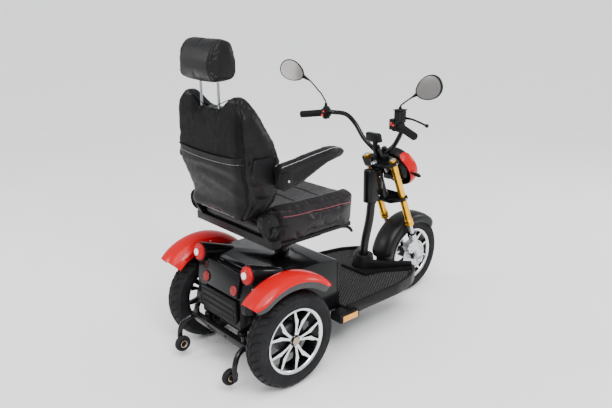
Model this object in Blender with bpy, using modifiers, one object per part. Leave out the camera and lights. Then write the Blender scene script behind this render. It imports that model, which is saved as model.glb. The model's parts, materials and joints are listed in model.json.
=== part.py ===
"""Three-wheeled mobility scooter with a captain seat.

Metres, +Z up. The front points to -Y and the rider's right to -X. The origin is on the
ground, under the middle of the scooter's length and width.
"""

import math

import bmesh
import bpy
from mathutils import Matrix, Vector

# Driving dimensions
GAP = 0.0003
SIDES = (("left", 1), ("right", -1))

WHEEL_R = 0.205
RIM_R = 0.1382
TYRE_HALF = 0.0445
WHEEL_STEPS = 32
TRACK_HALF = 0.289
REAR_Y = 0.495
FRONT_Y = -0.545
AXLE_Z = WHEEL_R
SPOKE_PAIRS = 5

RAIL_X = 0.12
RAIL_HALF = 0.015
RAIL_TOP = 0.168
PAN_TOP = 0.175
DECK_LOW = 0.1758
DECK_TOP = 0.206
DECK_RIM = 0.226
MAT_TOP = 0.2125
DECK_REAR = 0.152
BODY_HALF = 0.222
BODY_FRONT = 0.158
BODY_LOW = 0.205
BODY_WALL = 0.005

POST_Y = 0.297
POST_R = 0.030
POST_TOP = 0.470

RAKE = math.radians(22.5)
FORK_X = 0.083
FORK_R = 0.017
STANCHION_R = 0.0115
STEER_BACK = 0.038
UPPER_CLAMP = 0.575
LOWER_CLAMP = 0.372
FORK_TOP = 0.598
GOLD_LOW = 0.211
BAR_R = 0.011

SEAT_HALF = 0.25
SEAT_FRONT = 0.046
SEAT_REAR = 0.500
SEAT_LOW = 0.583
SEAT_TOP = 0.698
BACK_LOW = 0.672
BACK_TOP = 1.142
BACK_HALF = 0.238
RECLINE = Vector((0.0, 0.560, 0.700))
ARM_PIVOT = Vector((0.0, 0.515, 0.862))
ARM_IN = 0.2550
ARM_OUT = 0.3120
HEAD_HALF = 0.112
HEAD_POST_X = 0.058
HEAD_POST_Y = 0.628

MIRROR_FOOT = {1: Vector((0.230, -0.179, 0.9893)), -1: Vector((-0.228, -0.190, 1.0253))}
GRIP_IN = Vector((0.245, -0.177, 0.957))
GRIP_END = Vector((0.361, -0.133, 0.939))

LAMP_END = Vector((0.169, 0.600, 0.467))
LAMP_AIM = Vector((0.0, 0.986, 0.166))

CASTER_X = 0.177
CASTER_Y = 0.715
CASTER_Z = 0.067
CASTER_R = 0.035

BLACK = (0.012, 0.012, 0.013)
GREY_BLACK = (0.03, 0.03, 0.032)
SILVER = (0.72, 0.73, 0.74)
RED = (0.62, 0.008, 0.006)


# ---------------------------------------------------------------- scene and materials
def clear_scene():
    for obj in list(bpy.data.objects):
        bpy.data.objects.remove(obj, do_unlink=True)


def new_collection(name):
    made = bpy.data.collections.new(name)
    bpy.context.scene.collection.children.link(made)
    return made


def material(name, colour, roughness, metallic=0.0):
    """One Principled material."""
    made = bpy.data.materials.new(name)
    made.use_nodes = True
    shader = made.node_tree.nodes["Principled BSDF"]
    shader.inputs["Base Color"].default_value = (*colour, 1.0)
    shader.inputs["Roughness"].default_value = roughness
    shader.inputs["Metallic"].default_value = metallic
    return made


def link(obj, group):
    for old in list(obj.users_collection):
        old.objects.unlink(obj)
    group.objects.link(obj)
    return obj


def finish(obj, colour, roughness, metallic=0.0, parent=None):
    """Turn a built shape into a named part with its own material."""
    link(obj, PARTS)
    obj.data.materials.clear()
    obj.data.materials.append(material(obj.name, colour, roughness, metallic))
    if parent:
        obj.parent = parent
    return obj


def empty(name, location, rotation=(0, 0, 0)):
    made = bpy.data.objects.new(name, None)
    made.location = location
    made.rotation_euler = rotation
    return link(made, PARTS)


def hang(obj, pivot):
    """Parent an object built in world coordinates to an empty that only has a location."""
    obj.parent = pivot
    obj.matrix_parent_inverse = Matrix.Translation(pivot.location).inverted()
    return obj


# ---------------------------------------------------------------- shape helpers
def mesh_object(name, bm):
    mesh = bpy.data.meshes.new(name)
    bm.to_mesh(mesh)
    bm.free()
    return link(bpy.data.objects.new(name, mesh), PARTS)


def bevelled(obj, width, segments=1):
    """Round the edges that are sharper than 30 degrees."""
    bevel = obj.modifiers.new("bevel", "BEVEL")
    bevel.width = width
    bevel.segments = segments
    bevel.limit_method = "ANGLE"
    return obj


def box(name, low, high, bevel=0.0, segments=1, top_scale=(1, 1), top_shift=(0, 0)):
    """A box between two corners, whose top face can be scaled and shifted."""
    low = Vector(low)
    high = Vector(high)
    bm = bmesh.new()
    bmesh.ops.create_cube(bm, size=1.0)
    size = high - low
    for vert in bm.verts:
        vert.co = Vector((vert.co.x * size.x, vert.co.y * size.y, vert.co.z * size.z))
        if vert.co.z > 0:
            vert.co.x = vert.co.x * top_scale[0] + top_shift[0]
            vert.co.y = vert.co.y * top_scale[1] + top_shift[1]
    made = mesh_object(name, bm)
    made.location = (low + high) / 2
    if bevel:
        bevelled(made, bevel, segments)
    return made


def aim(obj, direction):
    """Point the local Z axis along a direction."""
    obj.rotation_euler = Vector(direction).to_track_quat("Z", "Y").to_euler()
    return obj


def rod(name, start, end, radius, radius_end=None, sides=16):
    """A straight round bar, or a cone, from one point to another."""
    start = Vector(start)
    end = Vector(end)
    bm = bmesh.new()
    far = radius if radius_end is None else radius_end
    bmesh.ops.create_cone(bm, cap_ends=True, segments=sides, radius1=radius, radius2=far,
                          depth=(end - start).length)
    made = mesh_object(name, bm)
    made.location = (start + end) / 2
    return aim(made, end - start)


def turned(name, profile, closed=False, steps=32, sweep=360.0):
    """Turn a (radius, height) profile about local Z. It runs down its outer side."""
    bm = bmesh.new()
    verts = [bm.verts.new((radius, 0.0, height)) for radius, height in profile]
    for first, second in zip(verts, verts[1:]):
        bm.edges.new((first, second))
    if closed:
        bm.edges.new((verts[-1], verts[0]))
    made = mesh_object(name, bm)
    screw = made.modifiers.new("screw", "SCREW")
    screw.angle = math.radians(sweep)
    screw.steps = steps
    screw.render_steps = steps
    screw.use_merge_vertices = True
    screw.merge_threshold = 0.00005
    screw.use_smooth_shade = True
    return made


def to_mesh(obj):
    """Replace a curve by its evaluated mesh, with the caps welded on."""
    bpy.context.view_layer.update()
    graph = bpy.context.evaluated_depsgraph_get()
    mesh = bpy.data.meshes.new_from_object(obj.evaluated_get(graph))
    bm = bmesh.new()
    bm.from_mesh(mesh)
    bmesh.ops.remove_doubles(bm, verts=bm.verts, dist=0.000005)
    bmesh.ops.recalc_face_normals(bm, faces=bm.faces)
    bm.to_mesh(mesh)
    bm.free()
    name = obj.name
    place = obj.matrix_world.copy()
    bpy.data.objects.remove(obj, do_unlink=True)
    made = link(bpy.data.objects.new(name, mesh), PARTS)
    made.matrix_world = place
    return made


def tube(name, points, radius, resolution=2):
    """A bent round tube along a list of points."""
    curve = bpy.data.curves.new(name, "CURVE")
    curve.dimensions = "3D"
    curve.bevel_depth = radius
    curve.bevel_resolution = resolution
    curve.use_fill_caps = True
    spline = curve.splines.new("POLY")
    spline.points.add(len(points) - 1)
    for place, point in zip(spline.points, points):
        place.co = (*point, 1.0)
    return to_mesh(link(bpy.data.objects.new(name, curve), PARTS))


def slab(name, outlines, low, high, plane="XY"):
    """A flat plate: the first outline is its edge and the others are holes.

    XY outlines are extruded along Z, YZ outlines along X and XZ outlines along Y.
    """
    curve = bpy.data.curves.new(name, "CURVE")
    curve.dimensions = "2D"
    curve.fill_mode = "BOTH"
    curve.extrude = (high - low) / 2
    for outline in outlines:
        spline = curve.splines.new("POLY")
        spline.points.add(len(outline) - 1)
        spline.use_cyclic_u = True
        for place, (across, along) in zip(spline.points, outline):
            place.co = (across, along, 0.0, 1.0)
    made = link(bpy.data.objects.new(name, curve), PARTS)
    middle = (low + high) / 2
    if plane == "XY":
        made.location.z = middle
    elif plane == "YZ":
        made.rotation_euler = (math.pi / 2, 0.0, math.pi / 2)
        made.location.x = middle
    else:
        made.rotation_euler.x = math.pi / 2
        made.location.y = middle
    return to_mesh(made)


def combine(obj, other, operation):
    """Boolean with a hidden guide object: UNION, DIFFERENCE or INTERSECT."""
    link(other, GUIDES)
    other.hide_render = True
    other.display_type = "WIRE"
    modifier = obj.modifiers.new(operation.lower(), "BOOLEAN")
    modifier.operation = operation
    modifier.solver = "EXACT"
    modifier.object = other
    return obj


def join(obj, *others):
    for other in others:
        combine(obj, other, "UNION")
    return obj


def cut(obj, *others):
    for other in others:
        combine(obj, other, "DIFFERENCE")
    return obj


def smooth_path(points, per_span=4):
    """A Catmull-Rom curve through the points."""
    points = [Vector(point) for point in points]
    ends = [2 * points[0] - points[1], *points, 2 * points[-1] - points[-2]]
    path = []
    for a, b, c, d in zip(ends, ends[1:], ends[2:], ends[3:]):
        for step in range(per_span):
            t = step / per_span
            path.append(0.5 * (2 * b + (c - a) * t + (2 * a - 5 * b + 4 * c - d) * t * t
                               + (3 * b - a - 3 * c + d) * t ** 3))
    return [*path, points[-1]]


def rounded(corners, radius, steps=3):
    """An outline whose corners are cut by arcs of a radius."""
    outline = []
    count = len(corners)
    for index, corner in enumerate(corners):
        here = Vector(corner)
        before = (Vector(corners[index - 1]) - here)
        after = (Vector(corners[(index + 1) % count]) - here)
        reach = min(radius, before.length * 0.45, after.length * 0.45)
        start = here + before.normalized() * reach
        end = here + after.normalized() * reach
        for step in range(steps + 1):
            t = step / steps
            outline.append(tuple((1 - t) ** 2 * start + 2 * t * (1 - t) * here + t * t * end))
    return outline


def circle(radius, steps=WHEEL_STEPS, centre=(0.0, 0.0)):
    turn = 2 * math.pi / steps
    return [(centre[0] + radius * math.cos(turn * k), centre[1] + radius * math.sin(turn * k))
            for k in range(steps)]


def mirrored(half):
    """Close a half outline, given at +X from the first point to the last, about X = 0."""
    return [*half, *((-across, along) for across, along in reversed(half))]


def side_point(point, side):
    return Vector((point[0] * side, point[1], point[2]))


# ---------------------------------------------------------------- wheels
def tyre(name, centre):
    """A tyre casing, open towards the rim."""
    outer = [(0.1410, 0.0405), (0.1680, TYRE_HALF), (0.1940, 0.0370), (WHEEL_R, 0.0140)]
    inner = [(0.1390, 0.0300), (0.1680, 0.0350), (0.1930, 0.0200)]
    down = [*outer, *((radius, -height) for radius, height in reversed(outer))]
    back = [(radius, -height) for radius, height in inner]
    profile = [*down, *back, *reversed(inner)]
    made = turned(name, profile, closed=True, steps=WHEEL_STEPS)
    made.location = centre
    made.rotation_euler.y = math.pi / 2
    return finish(made, BLACK, 0.8)


def window(middle, inner_r, outer_r, inner_half, outer_half):
    """One opening of the wheel face, from polar coordinates in degrees."""
    corners = []
    for radius, half in ((inner_r, inner_half), (outer_r, outer_half)):
        sweep = (-half, half) if radius == inner_r else (half, 0.0, -half)
        for offset in sweep:
            angle = math.radians(middle + offset)
            corners.append((radius * math.cos(angle), radius * math.sin(angle)))
    return corners


def rim(name, centre, side, face, hub_low, hub_high, bore):
    """An alloy wheel: barrel, five split spokes and a bored hub. Local Z is the axle."""
    barrel = [(RIM_R, 0.040), (RIM_R, -0.040), (0.1280, -0.040), (0.1280, 0.040)]
    made = turned(name, barrel, closed=True, steps=WHEEL_STEPS)
    pitch = 360.0 / SPOKE_PAIRS
    windows = []
    for pair in range(SPOKE_PAIRS):
        windows.append(window(pair * pitch + 90.0, 0.056, 0.122, 4.0, 10.0))
        windows.append(window((pair + 0.5) * pitch + 90.0, 0.044, 0.122, 9.0, 17.0))
    spokes = slab(name + "_face", [circle(0.1300), *windows], face - 0.006, face + 0.006)
    hub = rod(name + "_hub", (0, 0, hub_low), (0, 0, hub_high), 0.028, sides=20)
    join(made, spokes, hub)
    hole = rod(name + "_bore", (0, 0, bore[0]), (0, 0, bore[1]), bore[2])
    cut(made, hole)
    for guide in (spokes, hub, hole):
        guide.parent = made
    made.location = centre
    made.rotation_euler.y = math.pi / 2 * side
    return finish(made, SILVER, 0.25, 0.9)


def rear_wheels():
    for word, side in SIDES:
        centre = (TRACK_HALF * side, REAR_Y, AXLE_Z)
        tyre("tyre_rear_" + word, centre)
        rim("rim_rear_" + word, centre, side, 0.028, -0.036, 0.036, (-0.05, 0.020, 0.0135))


def front_wheel():
    centre = (0.0, FRONT_Y, AXLE_Z)
    tyre("tyre_front", centre)
    made = rim("rim_front", centre, -1, 0.014, -0.045, 0.0535, (-0.06, 0.06, 0.0095))
    disc = slab("rim_front_disc", [circle(0.080, 32), circle(0.020, 24)], 0.0490, 0.0520)
    disc.parent = made
    made.modifiers.remove(made.modifiers["difference"])
    join(made, disc)
    cut(made, bpy.data.objects["rim_front_bore"])


def anti_tip_wheels():
    profile = [(0.0, 0.013), (0.012, 0.013), (0.016, 0.010), (0.030, 0.010), (CASTER_R, 0.005)]
    full = [*profile, *((radius, -height) for radius, height in reversed(profile))]
    for word, side in SIDES:
        made = turned("anti_tip_wheel_" + word, full, steps=24)
        made.location = (CASTER_X * side, CASTER_Y, CASTER_Z)
        made.rotation_euler.y = math.pi / 2
        finish(made, BLACK, 0.6)


# ---------------------------------------------------------------- chassis
def frame_rails():
    """Two square rails, each with a riser for the rear bar."""
    rear = 0.6215
    for word, side in SIDES:
        low = (RAIL_X * side - RAIL_HALF, -0.205, RAIL_TOP - 2 * RAIL_HALF)
        high = (RAIL_X * side + RAIL_HALF, rear, RAIL_TOP)
        rail = box("rail_" + word, low, high)
        join(rail, box("riser_" + word, (low[0] + 0.001, rear - 0.030, RAIL_TOP - 0.010),
                       (high[0] - 0.001, rear, BODY_LOW - 0.0005)))
        finish(rail, BLACK, 0.45)


def floor_pan():
    """The plate that ties the rails, and carries the batteries, the post and the column."""
    made = box("floor_pan", (-0.150, -0.260, RAIL_TOP + GAP), (0.150, 0.430, PAN_TOP))
    finish(made, BLACK, 0.5)


def battery_pack():
    made = box("battery_pack", (-0.190, 0.180, PAN_TOP + 0.031), (0.190, 0.262, 0.395), 0.006)
    foot = box("battery_foot", (-0.120, 0.185, PAN_TOP + GAP), (0.120, 0.255, 0.230))
    finish(join(made, foot), GREY_BLACK, 0.6)


def seat_tower():
    """The fixed seat post, on a foot plate."""
    post = rod("seat_tower", (0, POST_Y, PAN_TOP + 0.004), (0, POST_Y, POST_TOP), POST_R, sides=24)
    foot = box("seat_tower_foot", (-0.070, POST_Y - 0.040, PAN_TOP + GAP),
               (0.070, POST_Y + 0.080, PAN_TOP + 0.010))
    finish(join(post, foot), BLACK, 0.4)


def transaxle():
    """Axle tube, gear case, drive motor and the two shafts that the wheels turn on."""
    tube_end = 0.228
    shaft_end = TRACK_HALF + 0.015
    made = rod("transaxle", (-tube_end, REAR_Y, AXLE_Z), (tube_end, REAR_Y, AXLE_Z), 0.026)
    shaft = rod("transaxle_shaft", (-shaft_end, REAR_Y, AXLE_Z), (shaft_end, REAR_Y, AXLE_Z), 0.012)
    case = rod("transaxle_case", (-0.045, REAR_Y, AXLE_Z + 0.012), (0.045, REAR_Y, AXLE_Z + 0.012), 0.048)
    motor = rod("transaxle_motor", (0.020, 0.565, 0.240), (0.122, 0.565, 0.240), 0.032)
    neck = box("transaxle_neck", (0.020, REAR_Y, 0.215), (0.043, 0.580, 0.262))
    foot = box("transaxle_foot", (-0.134, 0.475, RAIL_TOP + GAP), (0.134, 0.515, 0.190))
    finish(join(made, shaft, case, neck, motor, foot), (0.25, 0.25, 0.26), 0.5, 0.8)


def body_outline(inset):
    """Side view of the body casing, as (y, z), pulled in by a wall thickness."""
    rear = 0.6225 - inset
    front = BODY_FRONT + inset
    top = 0.446 - inset
    return [(front, BODY_LOW), (front + 0.013, top - 0.012), (0.300, top), (0.540, top),
            (rear - 0.030, top - 0.006), (rear, 0.350), (rear + 0.004, BODY_LOW)]


def body_plan(inset):
    half = BODY_HALF - inset
    right = [(half, 0.100), (half, 0.560), (0.165 - inset, 0.6265)]
    return mirrored([*right, (0.150 - inset, 0.700)])


def casing(name, inset, low):
    """The body casing's block: its side view crossed with its plan."""
    side = [(y, low if z == BODY_LOW else z) for y, z in body_outline(inset)]
    block = slab(name, [rounded(side, 0.022)] if not inset else [side], -0.3, 0.3, "YZ")
    plan = slab(name + "_plan", [body_plan(inset)], low - 0.1, 0.6)
    return combine(block, plan, "INTERSECT")


def body_shell():
    """The plastic casing over the batteries and the motor, open underneath."""
    made = casing("body_shell", 0.0, BODY_LOW)
    hollow = casing("body_hollow", BODY_WALL, BODY_LOW - 0.05)
    for side in (1, -1):
        far = 0.30 * side
        low = (min(0.134 * side, far), 0.425, 0.10)
        high = (max(0.134 * side, far), 0.70, 0.300)
        cut(made, box("corner_relief", low, high))
        low = (min(0.129 * side, far), 0.420, 0.09)
        high = (max(0.129 * side, far), 0.72, 0.305)
        cut(hollow, box("corner_wall", low, high))
    cut(made, hollow)
    cut(made, rod("axle_notch", (-0.3, REAR_Y, AXLE_Z), (0.3, REAR_Y, AXLE_Z), 0.034))
    cut(made, rod("post_hole", (0, POST_Y, 0.40), (0, POST_Y, 0.50), POST_R + 0.004, sides=24))
    for side in (1, -1):
        join(made, rod("lamp_pod", side_point(LAMP_END - LAMP_AIM * 0.160, side),
                       side_point(LAMP_END, side), 0.016, 0.042, 20))
    join(made, box("rear_ledge", (-0.085, 0.535, 0.440), (0.085, 0.568, 0.462), 0.004))
    finish(made, BLACK, 0.3)


def rear_panels():
    """The sloping upper panel and the ribbed lower panel on the back of the casing."""
    upper = [(0.110, 0.057), (0.122, 0.030), (0.122, -0.048), (-0.122, -0.048),
             (-0.122, 0.030), (-0.110, 0.057)]
    panel = slab("rear_panel", [upper], -0.005, 0.005, "XZ")
    panel.rotation_euler.x += math.radians(15.0)
    panel.location = (0.0, 0.6150, 0.4010)
    finish(bevelled(panel, 0.002), BLACK, 0.35)
    lower = mirrored([(0.122, 0.345), (0.128, 0.262), (0.105, 0.236)])
    ribbed = slab("lower_panel", [lower], 0.6280, 0.6380, "XZ")
    for level in (0.268, 0.294, 0.320):
        join(ribbed, box("rib", (-0.112, 0.634, level), (0.112, 0.643, level + 0.012)))
    finish(ribbed, BLACK, 0.55)


def tail_lamps():
    profile = [(0.0, 0.016), (0.018, 0.014), (0.032, 0.004), (0.0375, -0.004), (0.0375, -0.014),
               (0.0, -0.014)]
    for word, side in SIDES:
        made = turned("tail_lamp_" + word, profile, steps=24)
        aim(made, LAMP_AIM).location = side_point(LAMP_END + LAMP_AIM * (0.014 + GAP), side)
        finish(made, RED, 0.1)


def rear_fenders():
    """Red arched mudguards, with a rolled outer lip and an inner skirt on the casing."""
    section = [(0.246, 0.3600), (0.265, 0.3560), (0.275, 0.3330), (0.278, 0.2950),
               (0.274, 0.2450), (0.258, 0.2260), (0.236, 0.2250)]
    start = 48.0
    sweep = 88.0
    for word, side in SIDES:
        heights = [(radius, height * side) for radius, height in section]
        profile = heights if side > 0 else list(reversed(heights))
        made = turned("fender_" + word, profile, steps=14, sweep=sweep)
        made.location = (0.0, REAR_Y + 0.020, 0.215)
        made.rotation_euler = (Matrix.Rotation(math.pi / 2, 3, "Y")
                               @ Matrix.Rotation(math.radians(start + 90.0), 3, "Z")).to_euler()
        skin = made.modifiers.new("solidify", "SOLIDIFY")
        skin.thickness = 0.004
        skin.offset = -1.0
        finish(made, RED, 0.15)


def anti_tip_frame():
    """The rear cross bar with the two curved arms of the anti-tip wheels."""
    bar = box("anti_tip_frame", (-0.205, 0.6220, 0.180), (0.205, 0.6525, 0.2120))
    for side in (1, -1):
        arm_x = (CASTER_X + 0.026) * side
        path = smooth_path([(arm_x - 0.012 * side, 0.640, 0.190), (arm_x - 0.006 * side, 0.680, 0.175),
                            (arm_x, 0.706, 0.130), (arm_x, 0.712, 0.067)])
        join(bar, tube("anti_tip_arm", path, 0.0095))
        join(bar, rod("anti_tip_pin", (arm_x + 0.004 * side, CASTER_Y - 0.003, CASTER_Z),
                      (CASTER_X * side + 0.0145 * side, CASTER_Y - 0.003, CASTER_Z), 0.007, sides=12))
    finish(bar, BLACK, 0.35)


def deck_half():
    """One half of the deck's outline, from the rear edge round to the wheel notch."""
    return [(0.272, DECK_REAR), (0.270, -0.180), (0.245, -0.300), (0.203, -0.375),
            (0.172, -0.405), (0.148, -0.400), (0.062, -0.262)]


def tray_outline(inset, rear):
    """The tray inside the deck's rim. A raised band round the notch carries the boot."""
    half = [(0.258, -0.180), (0.233, -0.295), (0.194, -0.362)]
    band = [(0.100, -0.235), (0.080, -0.148)]
    return mirrored([(0.260 - inset, rear), *((x - inset, y + inset) for x, y in half),
                     (0.182, -0.372 + 2 * inset), *((x + inset, y + inset) for x, y in band)])


def foot_deck():
    """The moulded foot tray with its side steps, notched for the front wheel."""
    made = slab("foot_deck", [rounded(mirrored(deck_half()), 0.020)], DECK_LOW, DECK_RIM)
    cut(made, slab("deck_tray", [tray_outline(0.0, DECK_REAR + 0.05)], DECK_TOP, DECK_RIM + 0.05))
    hollow = mirrored([(0.255, DECK_REAR - 0.012), (0.255, -0.180), (0.180, -0.245)])
    cut(made, slab("deck_hollow", [hollow], DECK_LOW - 0.05, 0.196))
    for side in (1, -1):
        low = (min(0.226 * side, 0.298 * side), 0.106, 0.166)
        high = (max(0.226 * side, 0.298 * side), 0.220, DECK_TOP)
        join(made, box("side_step", low, high, 0.006))
    cut(made, rod("column_hole", (0, -0.221, 0.15), (0, -0.221, 0.25), 0.026, sides=16))
    finish(made, BLACK, 0.45)


def foot_mat():
    """The ribbed rubber mat in the tray, round the column boot."""
    made = slab("foot_mat", [tray_outline(0.0012, DECK_REAR - 0.001)], DECK_TOP + GAP, MAT_TOP)
    finish(made, BLACK, 0.9)


def column_boot():
    """The collar round the column's foot, and the ridges that run round the wheel notch."""
    low = DECK_RIM + GAP
    profile = [(0.036, 0.285), (0.046, 0.282), (0.050, 0.255), (0.058, low), (0.0245, low),
               (0.0245, 0.285)]
    made = turned("column_boot", profile, closed=True, steps=24)
    made.location = (0.0, -0.221, 0.0)
    for side in (1, -1):
        inner = [(0.030, -0.235), (0.074, -0.262), (0.157, -0.394)]
        outer = [(0.170, -0.388), (0.086, -0.235), (0.040, -0.190)]
        ridge = slab("ridge", [[(x * side, y) for x, y in (*inner, *outer)]], low, 0.262)
        for vert in ridge.data.vertices:
            if vert.co.z > 0:
                vert.co.z -= 0.016 * min(1.0, max(0.0, (-0.235 - vert.co.y) / 0.16))
        join(made, ridge)
    finish(made, BLACK, 0.4)


def steering_column():
    """The bent tube from the floor pan up to the steering neck."""
    path = smooth_path([(0, -0.221, PAN_TOP + GAP), (0, -0.221, 0.290), (0, -0.232, 0.360),
                        (0, -0.256, 0.450), (0, -0.268, 0.5405)], 3)
    path[1].y = path[2].y = -0.221
    finish(tube("steering_column", path, 0.0205, 4), BLACK, 0.2)


def fork_point(across, back, along):
    """A point given in the fork's own frame, in world coordinates."""
    turn = Matrix.Rotation(-RAKE, 3, "X")
    return Vector((0.0, FRONT_Y, AXLE_Z)) + turn @ Vector((across, back, along))


def steering_neck():
    """The upper shroud with the head tube, in which the fork's steerer turns."""
    outline = [(0.030, -0.325), (0.030, -0.255), (0.018, -0.236), (-0.018, -0.236),
               (-0.030, -0.255), (-0.030, -0.325)]
    made = slab("steering_neck", [outline], 0.5460, 0.700)
    cap = rod("neck_cap", (0, -0.262, 0.690), (0, -0.262, 0.716), 0.024, sides=20)
    head = rod("head_tube", fork_point(0, STEER_BACK, LOWER_CLAMP + 0.016),
               fork_point(0, STEER_BACK, UPPER_CLAMP - 0.0015), 0.0225, sides=20)
    web_low = fork_point(0, STEER_BACK, LOWER_CLAMP + 0.045)
    web_high = fork_point(0, STEER_BACK, UPPER_CLAMP - 0.015)
    web = slab("neck_web", [[(web_low.y, web_low.z), (-0.290, 0.560), (-0.290, 0.690),
                             (web_high.y, web_high.z)]], -0.014, 0.014, "YZ")
    bore = rod("head_bore", fork_point(0, STEER_BACK, LOWER_CLAMP),
               fork_point(0, STEER_BACK, UPPER_CLAMP + 0.01), 0.0150, sides=20)
    clear = rod("clamp_room", fork_point(0, STEER_BACK, UPPER_CLAMP - 0.001),
                fork_point(0, STEER_BACK, UPPER_CLAMP + 0.10), 0.062, sides=20)
    cut(join(made, cap, web, head), bore, clear)
    finish(made, BLACK, 0.25)


# ---------------------------------------------------------------- steering assembly
def fork_tubes():
    """Gold upper tubes, bored for the sliding stanchions."""
    bore = STANCHION_R + 0.0008
    profile = [(FORK_R, FORK_TOP), (FORK_R, 0.250), (0.0205, 0.242), (0.0205, GOLD_LOW),
               (bore, GOLD_LOW), (bore, 0.560), (0.0, 0.560)]
    closed_top = [(0.0, FORK_TOP), *profile]
    for word, side in SIDES:
        made = turned("fork_tube_" + word, closed_top, steps=20)
        made.location = (FORK_X * side, 0.0, 0.0)
        finish(made, (0.75, 0.42, 0.05), 0.25, 1.0, FORK)


def clamp_plate(name, low, high, front, back):
    """A fork clamp, bored for the two tubes and notched round."""
    half = [(0.108, -0.016), (0.108, 0.016), (0.050, back)]
    plate = slab(name, [rounded(mirrored([(0.050, front), *half]), 0.008, 2)], low, high)
    for side in (1, -1):
        hole = rod(name + "_hole", (FORK_X * side, 0, low - 0.02), (FORK_X * side, 0, high + 0.02),
                   FORK_R + GAP, sides=20)
        hole.parent = FORK
        cut(plate, hole)
    return plate


def lower_clamp():
    """The lower clamp with the steerer tube that runs up inside the head tube."""
    made = clamp_plate("lower_clamp", LOWER_CLAMP, LOWER_CLAMP + 0.014, -0.022, 0.058)
    steerer = rod("steerer", (0, STEER_BACK, LOWER_CLAMP + 0.005),
                  (0, STEER_BACK, UPPER_CLAMP - GAP), 0.0125, sides=20)
    steerer.parent = FORK
    finish(join(made, steerer), BLACK, 0.35, 0.0, FORK)


def upper_clamp():
    """The upper clamp with the two blocks that hold the handlebar."""
    made = clamp_plate("upper_clamp", UPPER_CLAMP, UPPER_CLAMP + 0.014, -0.034, 0.060)
    for side in (1, -1):
        low = (0.022 * side - 0.009, -0.034, UPPER_CLAMP + 0.010)
        high = (0.022 * side + 0.009, 0.002, 0.645)
        block = box("bar_block", low, high)
        block.parent = FORK
        join(made, block)
    hole = rod("bar_hole", (-0.05, -0.016, 0.627), (0.05, -0.016, 0.627), BAR_R + 0.0006)
    hole.parent = FORK
    finish(cut(made, hole), BLACK, 0.35, 0.0, FORK)


def bar_route():
    """The handlebar's route on the left, from the middle of the clamp to the grip's end."""
    centre = fork_point(0, -0.016, 0.627)
    flat = centre + Vector((0.045, 0, 0))
    grip = GRIP_END - GRIP_IN
    bends = [flat, Vector((0.100, -0.309, 0.836)), Vector((0.148, -0.296, 0.904)),
             Vector((0.178, -0.262, 0.948)), GRIP_IN - grip * 0.37]
    return [centre, *smooth_path(bends, 3), GRIP_IN + grip * 0.92]


def handlebar():
    half = bar_route()
    points = [side_point(point, -1) for point in reversed(half)] + half[1:]
    hang(finish(tube("handlebar", points, BAR_R, 2), BLACK, 0.3), STEER)


def along_grip(side, distance):
    """A point on the handlebar end's axis, from the inner end of the grip."""
    direction = (GRIP_END - GRIP_IN).normalized()
    return side_point(GRIP_IN + direction * distance, side)


def grips():
    """Rubber grips, closed at the outer end, on the handlebar's ends."""
    start = 0.003
    length = (GRIP_END - GRIP_IN).length - start
    radius = 0.0165
    bore = BAR_R + 0.0012
    profile = [(0.0, length), (radius * 0.8, length), (radius, length - 0.004), (radius, 0.0),
               (bore, 0.0), (bore, length - 0.006), (0.0, length - 0.006)]
    for word, side in SIDES:
        made = turned("grip_" + word, profile, steps=20)
        made.location = along_grip(side, start)
        aim(made, along_grip(side, length) - along_grip(side, start))
        finish(made, BLACK, 0.85)


def switch_pods():
    """The housings inboard of each grip. The right one carries the brake's reservoir."""
    for word, side in SIDES:
        made = rod("switch_pod_" + word, along_grip(side, -0.034), along_grip(side, 0.0022), 0.0200,
                   sides=20)
        middle = along_grip(side, -0.016)
        if side < 0:
            block = box("reservoir", middle + Vector((-0.013, -0.034, 0.012)),
                        middle + Vector((0.024, 0.010, 0.066)), 0.004)
            switch = box("run_switch", middle + Vector((-0.008, 0.010, -0.020)),
                         middle + Vector((0.016, 0.032, 0.018)), 0.004)
            join(made, block, switch)
        else:
            join(made, box("switch_block", middle + Vector((-0.014, -0.014, -0.030)),
                           middle + Vector((0.009, 0.020, 0.030)), 0.005))
        bore = rod("pod_bore", along_grip(side, -0.060), along_grip(side, 0.030), BAR_R + 0.0012)
        finish(cut(made, bore), BLACK, 0.4)
        hang(made, STEER)


def horn_button():
    """The push button on the left pod."""
    middle = along_grip(1, -0.016) + Vector((0, 0.0205, -0.010))
    made = rod("horn_button", middle + Vector((0, 0.0050, 0)), middle + Vector((0, 0.0110, 0)),
               0.0065, sides=12)
    finish(made, RED, 0.4)


def brake_lever():
    """The front brake's lever, on a pivot in front of the reservoir."""
    root = Vector((-0.206, -0.2300, 0.985))
    path = smooth_path([root, (-0.250, -0.234, 0.986), (-0.310, -0.222, 0.981), (-0.362, -0.208, 0.975)])
    made = tube("brake_lever", path, 0.0055)
    ball = rod("lever_ball", (-0.362, -0.2175, 0.975), (-0.362, -0.1985, 0.975), 0.0085, sides=12)
    boss = rod("lever_boss", root - Vector((0, 0, 0.009)), root + Vector((0, 0, 0.009)), 0.010, sides=16)
    finish(join(made, ball, boss), BLACK, 0.3)


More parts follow.
